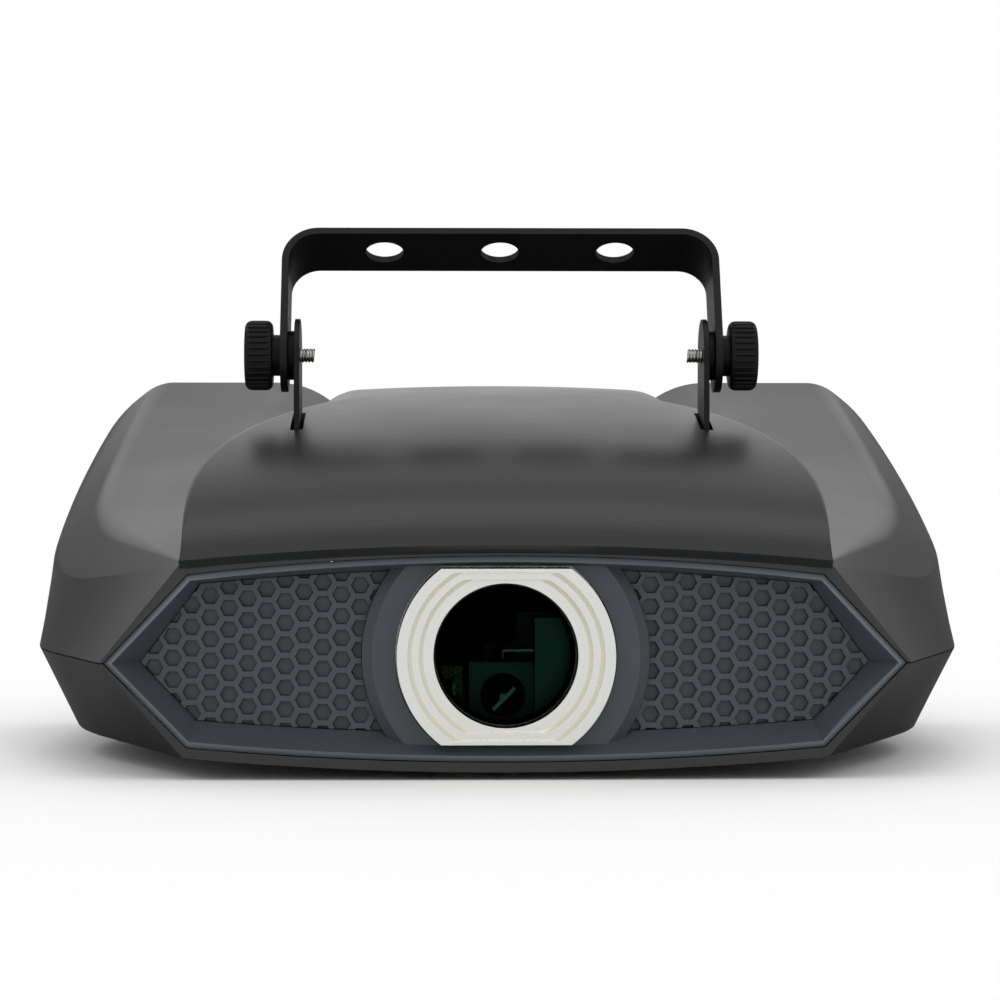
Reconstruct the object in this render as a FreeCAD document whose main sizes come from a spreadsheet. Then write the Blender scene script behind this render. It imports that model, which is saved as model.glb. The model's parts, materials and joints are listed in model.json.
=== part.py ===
import FreeCAD, Part
import Sketcher
import math
import os
import re
from types import SimpleNamespace

# A compact laser show projector: a moulded two-part housing, a slate front frame with honeycomb
# inserts round a silver window bezel, a hanging bracket clamped by two knobs, and the scanner, lasers
# and boards inside. Millimetres. X is the width, +Z is up, the window looks along -Y. The origin is on
# the floor, midway between the front edge of the brow and the rear rim. Depths are measured back from
# the plane of the front frame, and rises and drops are measured from the beam axis.

SIZES = {
    # Housing as a whole.
    "body_depth": 188,
    "brow_overhang": 3,
    "axis_height": 31.5,
    "wall": 2.2,
    "lip": 0.8,
    "clearance": 0.2,
    "overrun": 2,
    "seam_drop": 1.6,
    # Six-sided outline of the front frame.
    "frame_tip_half": 102.5,
    "frame_upper_half": 81.2,
    "frame_upper_rise": 20.9,
    "frame_top_rise": 25.7,
    "frame_lower_half": 81.5,
    "frame_lower_drop": 23,
    "frame_bottom_drop": 26.8,
    # Sections of the main body at its front, at its widest and at its rear rim.
    "brow_margin": 3.4,
    "brow_corner": 1.2,
    "brow_facet": 2.4,
    "brow_seat": 0.4,
    "tip_lip": 1.2,
    "chin": 2.7,
    "front_trough_half": 41,
    "waist_half": 131.5,
    "waist_bend": 30,
    "shoulder_rise": 16,
    "rear_shoulder_rise": 58.8,
    "cheek_rise": 34.3,
    "rear_top_rise": 76,
    "lobe_rise": 45,
    "trough_rise": 43,
    "rear_trough_rise": 68,
    "lower_drop": 23.7,
    "rear_lower_drop": 24,
    "side_bulge": 1,
    "front_cheek_round": 0.6,
    "cheek_round": 14,
    "rear_cheek_round": 14,
    "lobe_round": 20,
    "rear_lobe_round": 28,
    # Hood over the window: it rises and narrows towards the back.
    "brow_rise": 29.4,
    "brow_edge": 0.8,
    "brow_round": 0.4,
    "hood_rise": 44.5,
    "hood_crown": 4,
    "hood_front_half": 82.4,
    "hood_foot_half": 83.2,
    "hood_foot_rise": 20,
    "hood_front_round": 1.2,
    "hood_rear_round": 15,
    # Front frame.
    "frame_flange": 3,
    "frame_bevel": 0.9,
    "frame_rim": 1.5,
    "frame_wall": 2,
    "recess_depth": 8,
    "recess_tip_half": 94,
    "recess_upper_half": 78.6,
    "recess_upper_rise": 18.6,
    "recess_top_rise": 22.4,
    "recess_lower_half": 79.6,
    "recess_lower_drop": 16.8,
    "recess_bottom_drop": 20.1,
    "collar_radius": 34.4,
    "collar_foot_radius": 37,
    "collar_depth": 3.6,
    "collar_slope": 2.2,
    # Honeycomb inserts.
    "insert_thickness": 2.6,
    "cell_pitch": 5.56,
    "cell_shift": 1.1,
    "lattice_drop": 7,
    "cell_wall": 1.15,
    "cell_depth": 1.9,
    "insert_border": 1.3,
    # Window bezel and glass.
    "bezel_radius": 28,
    "bezel_flat": 22.5,
    "bezel_proud": 1,
    "bezel_gap": 0.5,
    "bezel_back": 15,
    "bezel_flange": 2.4,
    "bezel_flange_grip": 2.5,
    "first_step_mouth": 25.2,
    "first_step_radius": 24.2,
    "first_step_flat": 21.4,
    "first_step_depth": 1.7,
    "second_step_mouth": 22.3,
    "second_step_radius": 21.3,
    "second_step_flat": 19.5,
    "second_step_depth": 4,
    "aperture_mouth": 18.6,
    "aperture_radius": 18.1,
    "aperture_depth": 6.4,
    "glass_radius": 20,
    "glass_thickness": 2.5,
    "glass_depth": 9.5,
    "gasket_thickness": 0.8,
    "retainer_width": 3,
    # Hanging bracket, its tab plates and its clamps.
    "pivot_rise": 79.1,
    "tab_half": 54.7,
    "tab_thickness": 1.5,
    "tab_width": 20,
    "tab_foot": 12,
    "slot_margin": 1,
    "washer_radius": 6.7,
    "washer_thickness": 1.8,
    "bracket_sheet": 2,
    "bracket_width": 20,
    "bracket_reach": 34.8,
    "bracket_bend": 10,
    "bracket_lean": 27,
    "hole_radius": 5.25,
    "hole_spacing": 32,
    "stud_radius": 2,
    "stud_reach": 3.6,
    "running_fit": 0.05,
    "knob_radius": 9.5,
    "knob_length": 7.4,
    "knob_neck_radius": 5.6,
    "knob_neck": 2.3,
    "knob_dish": 1.5,
    "knob_dish_radius": 5,
    "knob_edge": 0.8,
    "knurl_radius": 0.55,
    # Feet, posts and case screws.
    "foot_radius": 7,
    "foot_height": 2,
    "foot_chamfer": 0.5,
    "foot_rear_inset": 26,
    "boss_margin": 1,
    "boss_height": 4.4,
    "post_radius": 4,
    "post_inset": 8,
    "screw_rear_inset": 40,
    "screw_radius": 1.5,
    "screw_head_radius": 3,
    "screw_head": 1.6,
    "screw_well": 3,
    "thread_length": 8,
    "vent_length": 26,
    "vent_width": 2.4,
    "vent_pitch": 6,
    # Optical base plate and the scanner on it.
    "base_height": 9,
    "base_thickness": 3,
    "base_half": 72,
    "base_front_depth": 21,
    "fitting_room": 23,
    "beam_drop": 12.5,
    "scan_depth": 30,
    "motor_radius": 6,
    "motor_length": 26,
    "motor_offset": 8,
    "shaft_radius": 1,
    "shaft_grip": 8,
    "mirror_length": 10,
    "mirror_width": 8,
    "mirror_thickness": 1,
    "scan_block_wall": 3,
    "scan_block_length": 16,
    # Lasers, combining mirrors and heat sink.
    "laser_first": 16.5,
    "laser_pitch": 15,
    "laser_width": 12,
    "laser_height": 14,
    "barrel_radius": 4,
    "barrel_length": 6,
    "combiner_width": 9,
    "combiner_thickness": 1.2,
    "combiner_mount": 3,
    "sink_height": 22,
    "sink_base": 4,
    "fin_thickness": 1.4,
    # Circuit boards and power supply.
    "board_thickness": 1.6,
    "standoff_height": 4,
    "standoff_radius": 2.5,
    "driver_width": 34,
    "driver_inner": 16,
    "chip_height": 5,
    "control_width": 44,
    "rear_board_inner": 6,
    "supply_width": 46,
    "supply_height": 26,
    # Rear panel and what is fastened to it.
    "panel_inset": 12,
    "panel_thickness": 2,
    "lug_length": 8,
    "lug_width": 14,
    "lug_height": 9,
    "panel_thread": 6,
    "fan_rise": 16,
    "fan_side": 50,
    "fan_thickness": 15,
    "fan_bore": 23,
    "hub_radius": 11,
    "hub_length": 11,
    "spoke_width": 3,
    "spoke_thickness": 2,
    "hub_gap": 0.3,
    "blade_gap": 1.2,
    "blade_thickness": 1.2,
    "blade_pitch_angle": 38,
    "fan_pin_radius": 2,
    "guard_wire": 1.3,
    "guard_pitch": 5.2,
    "inlet_rise": -4,
    "inlet_flange_width": 48,
    "inlet_flange_height": 23,
    "inlet_width": 27,
    "inlet_height": 19.8,
    "inlet_body": 18,
    "flange_thickness": 2,
    "inlet_wall": 2.2,
    "pin_width": 2,
    "pin_height": 4,
    "pin_length": 9,
    "pin_spacing": 6.75,
    "pin_offset": 2,
    "rocker_rise": 28,
    "rocker_frame_width": 21,
    "rocker_frame_height": 15,
    "rocker_width": 17.4,
    "rocker_height": 11,
    "rocker_body": 14,
    "rocker_tilt": 9,
    "rocker_rim": 2,
    "rocker_gap": 0.3,
    "rocker_dish": 1.2,
    "rocker_root": 5,
    "key_rise": 28,
    "key_collar_radius": 9.5,
    "key_barrel_radius": 6,
    "key_body": 22,
    "key_slot_width": 1.8,
    "key_slot_height": 7.2,
    "key_collar": 3,
    "key_chamfer": 1.5,
    "key_thread_radius": 8,
    "key_slot_depth": 6,
    "socket_rise": -8,
    "socket_width": 26,
    "socket_height": 31,
    "socket_radius": 11.8,
    "socket_bore": 9.6,
    "socket_body": 20,
    "contact_radius": 1.2,
    "contact_ring": 4.6,
    "socket_floor": 4,
    "remote_width": 17,
    "remote_height": 15,
    "remote_body": 15,
    "display_rise": 40,
    "display_width": 34,
    "display_height": 16,
    "button_radius": 3,
    "button_pitch": 11,
    "button_rise": 22,
    "button_proud": 2.4,
    "button_travel": 0.8,
    "button_skirt": 0.8,
    "button_edge": 0.4,
    "button_skirt_thickness": 1.2,
    "display_rim": 1,
    "spacer_radius": 2,
    "spacer_across": 19.8,
    "display_board_width": 44,
    "eye_rise": 58,
    "eye_radius": 5,
    "eye_wire": 1.5,
    "eye_reach": 4,
}

# Sizes that follow from the others: the inside and the rear keep their room when the housing changes.
FOLLOWING = {
    "waist_depth": "0.415 * body_depth",
    "hood_turn_depth": "0.505 * body_depth",
    "hood_reach": "0.88 * (body_depth + brow_overhang)",
    "pivot_depth": "0.298 * body_depth",
    "foot_front_depth": "0.33 * body_depth",
    "screw_front_depth": "0.33 * body_depth",
    "vent_depth": "0.638 * body_depth",
    "rear_waist_half": "0.9582 * waist_half",
    "shoulder_half": "0.9627 * waist_half",
    "rear_shoulder_half": "0.9658 * waist_half",
    "cheek_half": "0.8662 * waist_half",
    "rear_cheek_half": "0.7985 * waist_half",
    "lobe_half": "0.6008 * waist_half",
    "rear_lobe_half": "0.4411 * waist_half",
    "trough_half": "0.5095 * waist_half",
    "rear_trough_half": "0.365 * waist_half",
    "lower_half": "0.9262 * waist_half",
    "rear_lower_half": "0.8365 * waist_half",
    "hood_rear_half": "0.3422 * waist_half",
    "hood_rear_foot_half": "0.8973 * waist_half",
    "foot_half": "0.4563 * waist_half",
    "screw_half": "0.73 * waist_half",
    "lug_half": "0.6388 * waist_half",
    "fan_across": "-0.5475 * waist_half",
    "inlet_across": "0.6236 * waist_half",
    "rocker_across": "0.5932 * waist_half",
    "key_across": "0.3194 * waist_half",
    "remote_across": "0.3194 * waist_half",
    "socket_first": "-0.1673 * waist_half",
    "socket_pitch": "0.2433 * waist_half",
    "display_across": "-0.0456 * waist_half",
    "base_length": "body_depth - panel_inset - fitting_room - base_front_depth",
    "laser_depth": "base_front_depth + 0.22 * base_length",
    "laser_length": "0.2576 * base_length",
    "sink_length": "0.1515 * base_length",
    "driver_depth": "base_front_depth + 0.3106 * base_length",
    "driver_length": "0.3333 * base_length",
    "rear_board_depth": "base_front_depth + 0.7045 * base_length",
    "control_length": "0.2576 * base_length",
    "supply_length": "0.2727 * base_length",
}

# Shares that give the hood its form, the number of repeats, and angles.
HOOD_TURN_POWER_SHARE = 1.8
BROW_STATION_SHARES = (1, 0.8, 0.45, 0)
HOOD_STATION_SHARES = (0, 0.03, 0.08, 0.16, 0.28, 0.42, 0.59, 0.78, 1)
HOOD_REAR_STATION_SHARES = (0, 0.35, 0.7, 1)
BODY_STATION_SHARES = (0, 0.12, 0.25, 0.34, 0.415, 0.49, 0.58, 0.72, 0.86, 1)
KNURL_COUNT = 32
BLADE_COUNT = 7
FIN_COUNT = 8
VENT_COUNT = 9
GUARD_COUNT = 4
CELL_SIDES = 6
LATTICE_SLOPE_SHARE = 0.0746
BLADE_CHORD_SHARE = 0.62
SUPPLY_SLOT_SHARES = (0.2, 0.35, 0.5, 0.65, 0.8)
SUPPLY_SLOT_START_SHARE = 0.2
SUPPLY_SLOT_LENGTH_SHARE = 0.6
CONTACT_TURNS = (-120, 0, 120)
MIRROR_TURN = 45
MATCH_DIGITS = 3
BUTTON_NAMES = ("menu_button", "down_button", "up_button", "enter_button")
LASER_NAMES = ("laser_blue", "laser_green", "laser_red")
MIRROR_NAMES = ("blue_combiner", "green_combiner", "turning_mirror")
SIDES = (("left", -1), ("right", 1))

Vector = FreeCAD.Vector
X_AXIS = Vector(1, 0, 0)
Y_AXIS = Vector(0, 1, 0)
Z_AXIS = Vector(0, 0, 1)
UPRIGHT = FreeCAD.Rotation()
FACING_FRONT = FreeCAD.Rotation(X_AXIS, 90)
FACING_BACK = FreeCAD.Rotation(X_AXIS, -90)
FACING_RIGHT = FreeCAD.Rotation(Y_AXIS, 90)
FACING_LEFT = FreeCAD.Rotation(Y_AXIS, -90)

document = FreeCAD.newDocument("laser_show_projector")
sheet = document.addObject("Spreadsheet::Sheet", "Sizes")
names = [*SIZES, *FOLLOWING]
entries = [*map(str, SIZES.values()), *[f"={formula}" for formula in FOLLOWING.values()]]
for row, (alias, entry) in enumerate(zip(names, entries), start=1):
    sheet.set(f"A{row}", alias)
    sheet.setAlias(f"B{row}", alias)
    sheet.set(f"B{row}", entry)
document.recompute()
s = SimpleNamespace(**{alias: float(sheet.get(alias)) for alias in names})

nodes = []


def linked(text):
    """Turn size names in a formula into references to the sheet's cells."""

    def cell_name(word):
        return f"Sizes.{word[0]}" if word[0] in names else word[0]

    return re.sub(r"[a-z][a-z_]*", cell_name, str(text))


def bind(thing, **formulas):
    for name, text in formulas.items():
        thing.setExpression(name.replace("__", "."), linked(text))
    return thing


def at_depth(text):
    """Formula for the Y of a place that lies so far behind the plane of the front frame."""
    return f"((brow_overhang - body_depth) / 2 + {text})"


def at_rise(text):
    """Formula for the Z of a place that lies so far above the beam axis."""
    return f"(axis_height + {text})"


def back_from_front(depth):
    return (s.brow_overhang - s.body_depth) / 2 + depth


PANEL_FACE = at_depth("body_depth - panel_inset")
PANEL_BACK = at_depth("body_depth - panel_inset - panel_thickness")
BASE_TOP = "(base_height + base_thickness)"


def place(thing, x, y, z, turn=UPRIGHT):
    thing.Placement = FreeCAD.Placement(Vector(), turn)
    return bind(thing, Placement__Base__x=x, Placement__Base__y=y, Placement__Base__z=z)


def block(name, x, y, z, length, width, height):
    """Box from its low corner; every value is a formula."""
    thing = document.addObject("Part::Box", name)
    bind(thing, Length=length, Width=width, Height=height)
    return place(thing, x, y, z)


def centred_block(name, x, y, z, length, width, height):
    """Box whose middle in X and Z is given, and whose low face in Y is given."""
    return block(name, f"{x} - ({length}) / 2", y, f"{z} - ({height}) / 2", length, width, height)


def rod(name, x, y, z, radius, length, turn=UPRIGHT):
    thing = document.addObject("Part::Cylinder", name)
    bind(thing, Radius=radius, Height=length)
    return place(thing, x, y, z, turn)


def cut(name, base, *tools):
    thing = document.addObject("Part::Cut", name)
    thing.Base = base
    thing.Tool = tools[0] if len(tools) == 1 else fuse(name + "_tools", *tools)
    return thing


def fuse(name, *pieces):
    thing = document.addObject("Part::MultiFuse", name)
    thing.Shapes = list(pieces)
    return thing


def group(name, pieces):
    thing = document.addObject("Part::Compound", name)
    thing.Links = list(pieces)
    return thing


def solid(name, shape):
    """A form that sections or loops make, kept as one object of the document."""
    thing = document.addObject("Part::Feature", name)
    thing.Shape = shape
    return thing


def node(label, thing):
    """Name a finished sub-part."""
    thing.Label = label
    nodes.append(thing)
    return thing


def origin_plane(body, role):
    return next(plane for plane in body.Origin.OriginFeatures if plane.Role == role)


def sketch(body, name, role, corners):
    """A closed outline on one of the body's own planes, each corner held by two formulas."""
    drawing = body.newObject("Sketcher::SketchObject", name)
    drawing.AttachmentSupport = [(origin_plane(body, role), "")]
    drawing.MapMode = "FlatFace"
    count = len(corners)
    for index in range(count):
        turn = math.tau * index / count
        after = math.tau * (index + 1) / count
        drawing.addGeometry(Part.LineSegment(Vector(math.cos(turn), math.sin(turn), 0),
                                             Vector(math.cos(after), math.sin(after), 0)))
    for index in range(count):
        drawing.addConstraint(Sketcher.Constraint("Coincident", index, 2, (index + 1) % count, 1))
    for index, (across, up) in enumerate(corners):
        for kind, text in (("DistanceX", across), ("DistanceY", up)):
            line = drawing.addConstraint(Sketcher.Constraint(kind, -1, 1, index, 1, 1))
            drawing.setExpression(f"Constraints[{line}]", linked(text))
    return drawing


def turned(name, corners):
    """A piece turned on a lathe about its own Z axis, from the outline of half its section."""
    body = document.addObject("PartDesign::Body", name)
    profile = sketch(body, name + "_profile", "XZ_Plane", corners)
    lathe = body.newObject("PartDesign::Revolution", name + "_turned")
    lathe.Profile = profile
    lathe.ReferenceAxis = (profile, ["V_Axis"])
    lathe.Angle = 360
    return body


def ring(name, inner, outer, length):
    """Turned ring or, with no bore, a disc."""
    return turned(name, ((inner, 0), (outer, 0), (outer, length), (inner, length)))


def plate(name, role, corners, thickness):
    """A flat piece padded both ways from one of the body's planes."""
    body = document.addObject("PartDesign::Body", name)
    pad = body.newObject("PartDesign::Pad", name + "_pad")
    pad.Profile = sketch(body, name + "_outline", role, corners)
    pad.Midplane = True
    bind(pad, Length=thickness)
    return body


# Main body of the housing: sections at the front, at the widest place and at the rear rim.

def body_corners(depth):
    """Right-hand corners of the body's section at a depth, from the lower edge up to the trough."""
    front = (
        (s.frame_lower_half + s.lip, -s.frame_lower_drop - s.chin),
        (s.frame_tip_half + s.tip_lip, -s.seam_drop),
        (s.frame_upper_half + s.brow_facet, s.frame_upper_rise + s.brow_margin - s.brow_corner),
        (s.frame_upper_half + s.brow_corner, s.frame_upper_rise + s.brow_margin),
        (s.frame_upper_half - s.brow_margin, s.frame_upper_rise + s.brow_margin + s.brow_seat),
        (s.front_trough_half, s.frame_top_rise + s.lip),
    )
    widest = (
        (s.lower_half, -s.lower_drop),
        (s.waist_half, -s.seam_drop),
        (s.shoulder_half, s.shoulder_rise),
        (s.cheek_half, s.cheek_rise),
        (s.lobe_half, s.lobe_rise),
        (s.trough_half, s.trough_rise),
    )
    rear = (
        (s.rear_lower_half, -s.rear_lower_drop),
        (s.rear_waist_half, -s.seam_drop),
        (s.rear_shoulder_half, s.rear_shoulder_rise),
        (s.rear_cheek_half, s.rear_top_rise),
        (s.rear_lobe_half, s.rear_top_rise),
        (s.rear_trough_half, s.rear_trough_rise),
    )
    swell = bulge(depth)
    corners = between_stations(depth, front, widest, rear)
    return [(x + swell, z) for x, z in corners[:4]] + corners[4:]


def between_stations(depth, front, widest, rear):
    """Values at a depth: straight runs to the widest place and on to the rear, joined by a long bend."""
    offset = depth - s.waist_depth
    bend = abs(offset)
    if bend < s.waist_bend:
        bend = (offset ** 2 + s.waist_bend ** 2) / (2 * s.waist_bend)
    trios = [zip(*corner) for corner in zip(front, widest, rear)]
    return [tuple(along_bend(offset, bend, *trio) for trio in corner) for corner in trios]


def along_bend(offset, bend, first, middle, last):
    before = (middle - first) / s.waist_depth
    after = (last - middle) / (s.body_depth - s.waist_depth)
    return middle + (before + after) / 2 * offset + (after - before) / 2 * bend


def rear_share(depth):
    return (depth - s.waist_depth) / (s.body_depth - s.waist_depth)


def bulge(depth):
    """How far the sides swell between the widest place and the rear rim."""
    share = max(rear_share(depth), 0)
    return s.side_bulge * (1 - (2 * share - 1) ** 2) if share <= 1 else 0


def round_at(depth, rounds):
    """Radius of a rounded edge that changes from the front to the widest place and on to the rear."""
    return between_stations(depth, *[((radius,),) for radius in rounds])[0][0]


def moved_inwards(corners, inset):
    """Outline with every side moved inwards by the same distance; the corners run anticlockwise."""
    moved = []
    count = len(corners)
    for index, (x, z) in enumerate(corners):
        before = corners[index - 1]
        after = corners[(index + 1) % count]
        first = unit(x - before[0], z - before[1])
        second = unit(after[0] - x, after[1] - z)
        scale = inset / (1 + first[0] * second[0] + first[1] * second[1])
        moved.append((x - (first[1] + second[1]) * scale, z + (first[0] + second[0]) * scale))
    return moved


def unit(x, z):
    length = math.hypot(x, z)
    return x / length, z / length


def point(corner, depth):
    return Vector(corner[0], back_from_front(depth), s.axis_height + corner[1])


def straight(start, end, depth):
    return Part.LineSegment(point(start, depth), point(end, depth)).toShape()


def bow(start, middle, end, depth):
    return Part.Arc(point(start, depth), point(middle, depth), point(end, depth)).toShape()


def rounded_corner(before, corner, after, radius):
    """Start, middle and end of the arc that rounds a corner."""
    first = unit(corner[0] - before[0], corner[1] - before[1])
    second = unit(after[0] - corner[0], after[1] - corner[1])
    half_turn = math.acos(first[0] * second[0] + first[1] * second[1]) / 2
    tangent = radius * math.tan(half_turn)
    start = (corner[0] - first[0] * tangent, corner[1] - first[1] * tangent)
    end = (corner[0] + second[0] * tangent, corner[1] + second[1] * tangent)
    inward = unit(second[0] - first[0], second[1] - first[1])
    depth_in = radius / math.cos(half_turn) - radius
    middle = (corner[0] + inward[0] * depth_in, corner[1] + inward[1] * depth_in)
    return start, middle, end


def mirrored(corner):
    return -corner[0], corner[1]


def body_section(depth, inset):
    """Outline of the main body: bowed floor, flared sides, rounded cheeks and the trough between lobes."""
    right = body_corners(depth)
    outline = [(0, -s.frame_bottom_drop - s.chin)] + right + [mirrored(corner) for corner in reversed(right)]
    outline = moved_inwards(outline, inset)
    floor, lower, waist, shoulder, cheek, lobe, trough = outline[:7]
    cheek_radius = round_at(depth, (s.front_cheek_round, s.cheek_round, s.rear_cheek_round))
    lobe_radius = round_at(depth, (s.front_cheek_round, s.lobe_round, s.rear_lobe_round))
    cheek_arc = rounded_corner(shoulder, cheek, lobe, max(cheek_radius - inset, s.front_cheek_round))
    lobe_arc = rounded_corner(cheek, lobe, trough, max(lobe_radius - inset, s.front_cheek_round))
    sides = [(lower, waist), (waist, shoulder), (shoulder, cheek_arc[0]), cheek_arc,
             (cheek_arc[-1], lobe_arc[0]), lobe_arc, (lobe_arc[-1], trough)]
    far_sides = [tuple(mirrored(corner) for corner in reversed(side)) for side in reversed(sides)]
    edges = [bow(mirrored(lower), floor, lower, depth)]
    for side in sides + [(trough, mirrored(trough))] + far_sides:
        edges.append(bow(*side, depth) if len(side) == 3 else straight(*side, depth))
    return Part.Wire(edges)


def body_form(start_depth, end_depth, inset):
    depths = [start_depth + (end_depth - start_depth) * share for share in BODY_STATION_SHARES]
    return Part.makeLoft([body_section(depth, inset) for depth in depths], True, False)


# Hood over the window: a crowned top that rises and narrows as it runs back.

def hood_turn(depth):
    return min(max(depth, 0) / s.hood_turn_depth, 1) ** HOOD_TURN_POWER_SHARE


def hood_top(depth):
    """Rise of the hood's middle: a quarter of an ellipse from the brow back, and level behind that."""
    left_over = 1 - min((depth + s.brow_overhang) / s.hood_reach, 1)
    return s.brow_rise + s.hood_rise * math.sqrt(1 - left_over ** 2)


def hood_wire(half, top, foot, floor_edge, radius, depth):
    """Outline over a foot line: the top bows between two rounded edges."""
    crown = s.hood_crown * (half / s.hood_front_half) ** 2
    start, middle, end = rounded_corner(foot, (half, top - crown), (0, top), radius)
    edges = [floor_edge, straight(foot, start, depth), bow(start, middle, end, depth)]
    edges += [bow(end, (0, top), mirrored(end), depth)]
    edges += [bow(mirrored(end), mirrored(middle), mirrored(start), depth)]
    edges += [straight(mirrored(start), mirrored(foot), depth)]
    return Part.Wire(edges)


def hood_section(depth, inset):
    """Outline of the hood, which narrows as it rises; its foot is a level line inside the body."""
    turn = hood_turn(depth)
    half = s.hood_front_half + (s.hood_rear_half - s.hood_front_half) * turn - inset
    foot_half = s.hood_foot_half + (s.hood_rear_foot_half - s.hood_foot_half) * turn - inset
    radius = s.hood_front_round + (s.hood_rear_round - s.hood_front_round) * turn
    foot = (foot_half, s.hood_foot_rise)
    floor_edge = straight(mirrored(foot), foot, depth)
    return hood_wire(half, hood_top(depth) - inset, foot, floor_edge, radius, depth)


def brow_section(depth):
    """Outline of the brow, the thin edge that overhangs the front frame and is bowed like its top."""
    inner_rise = s.frame_top_rise + s.brow_seat
    outer_rise = s.brow_rise - s.brow_edge
    middle_rise = inner_rise - (outer_rise - inner_rise) * depth / s.brow_overhang
    foot = (s.hood_foot_half, middle_rise - s.hood_crown)
    floor_edge = bow(mirrored(foot), (0, middle_rise), foot, depth)
    return hood_wire(s.hood_front_half, hood_top(depth), foot, floor_edge, s.brow_round, depth)


def hood_form(start_depth, end_depth, inset):
    """Smooth where the hood turns in towards the bracket tabs, and straight from there to the rear rim."""
    reach = s.hood_turn_depth - start_depth
    front = [hood_section(start_depth + reach * share, inset) for share in HOOD_STATION_SHARES]
    level_depth = s.hood_reach - s.brow_overhang
    rear_reach = level_depth - s.hood_turn_depth
    rear_depths = [s.hood_turn_depth + rear_reach * share for share in HOOD_REAR_STATION_SHARES] + [end_depth]
    rear = [hood_section(depth, inset) for depth in rear_depths]
    return Part.makeLoft(front, True, False).fuse(Part.makeLoft(rear, True, True))


def housing_form(start_depth, end_depth, inset):
    return body_form(start_depth, end_depth, inset).fuse(hood_form(start_depth, end_depth, inset))


# Outline of the front frame: two pointed sides, bowed top and bottom.

def frame_corners():
    right = (
        (s.frame_tip_half, -s.seam_drop),
        (s.frame_upper_half, s.frame_upper_rise),
        (0, s.frame_top_rise),
        (0, -s.frame_bottom_drop),
        (s.frame_lower_half, -s.frame_lower_drop),
    )
    return six_sided(*right)


def recess_corners():
    right = (
        (s.recess_tip_half, -s.seam_drop),
        (s.recess_upper_half, s.recess_upper_rise),
        (0, s.recess_top_rise),
        (0, -s.recess_bottom_drop),
        (s.recess_lower_half, -s.recess_lower_drop),
    )
    return six_sided(*right)


def six_sided(tip, upper, top, bottom, lower):
    return [tip, upper, top, mirrored(upper), mirrored(tip), mirrored(lower), bottom, lower]


def frame_wire(corners, inset, depth):
    tip, upper, top, far_upper, far_tip, far_lower, bottom, lower = moved_inwards(corners, inset)
    edges = [straight(tip, upper, depth), bow(upper, top, far_upper, depth)]
    edges += [straight(far_upper, far_tip, depth), straight(far_tip, far_lower, depth)]
    edges += [bow(far_lower, bottom, lower, depth), straight(lower, tip, depth)]
    return Part.Wire(edges)


def frame_prism(corners, inset, start_depth, end_depth):
    return Part.Face(frame_wire(corners, inset, start_depth)).extrude(Y_AXIS * (end_depth - start_depth))


def wide_box(low_rise, high_rise):
    """Box that takes in the whole width and depth between two heights above the beam axis."""
    width = 2 * (s.waist_half + s.side_bulge + s.overrun)
    depth = s.body_depth + 2 * (s.brow_overhang + s.overrun)
    corner = Vector(-width / 2, back_from_front(-s.brow_overhang - s.overrun), s.axis_height + low_rise)
    return Part.makeBox(width, depth, high_rise - low_rise, corner)


def upright_rod(x, depth, radius, low, high):
    return Part.makeCylinder(radius, high - low, Vector(x, back_from_front(depth), low))


def foot_places():
    return [(side * s.foot_half, depth) for side in (-1, 1)
            for depth in (s.foot_front_depth, s.body_depth - s.foot_rear_inset)]


def screw_places():
    return [(side * s.screw_half, depth) for side in (-1, 1)
            for depth in (s.screw_front_depth, s.body_depth - s.screw_rear_inset)]


def base_post_places():
    ends = (s.base_front_depth + s.post_inset, s.base_front_depth + s.base_length - s.post_inset)
    return [(side * (s.base_half - s.post_inset), depth) for side in (-1, 1) for depth in ends]


def panel_screw_places():
    rises = (s.rear_top_rise - s.lug_height - s.lug_length / 2, -s.rear_lower_drop + s.lug_height / 2)
    return [(side * s.lug_half, rise) for side in (-1, 1) for rise in rises]


# Housing: body, hood and brow as one form, hollowed out, opened for the frame and parted at the waist.
body_skin = body_form(0, s.body_depth, 0)
hood_skin = hood_form(s.brow_edge, s.body_depth, 0)
brow_sections = [brow_section(-s.brow_overhang * share) for share in BROW_STATION_SHARES]
brow_sections.append(hood_section(s.brow_edge, 0))
brow_skin = Part.makeLoft(brow_sections, True, True)
skin = body_skin.fuse([hood_skin, brow_skin])
cavity = housing_form(s.frame_flange, s.body_depth + s.overrun, s.wall)
frame_seat = frame_prism(frame_corners(), -s.clearance, -s.brow_overhang, s.frame_flange)
front_hole = frame_prism(frame_corners(), s.frame_rim, s.frame_flange - s.overrun, s.frame_flange + s.wall)
housing = skin.cut(cavity.fuse([frame_seat, front_hole]))
seam = -s.seam_drop
seam_height = s.axis_height + seam
crest = s.rear_top_rise + s.overrun
keel = -s.axis_height - s.overrun
panel_back = s.body_depth - s.panel_inset - s.panel_thickness

top_posts = [upright_rod(x, depth, s.post_radius, seam_height, s.axis_height + crest)
             for x, depth in screw_places()]
bottom_posts = [upright_rod(x, depth, s.post_radius, 0, seam_height) for x, depth in screw_places()]
bottom_posts += [upright_rod(x, depth, s.post_radius, 0, s.base_height) for x, depth in base_post_places()]
boss_top = s.foot_height + s.boss_height
foot_bosses = [upright_rod(x, depth, s.foot_radius + s.boss_margin, s.foot_height, boss_top)
               for x, depth in foot_places()]


def panel_lugs(low, high):
    """Blocks inside the shell that the rear panel is screwed against."""
    lugs = []
    for side in (-1, 1):
        x = side * s.lug_half - s.lug_width / 2
        corner = Vector(x, back_from_front(panel_back - s.lug_length), s.axis_height + low)
        lugs.append(Part.makeBox(s.lug_width, s.lug_length, high - low, corner))
    return lugs


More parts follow.
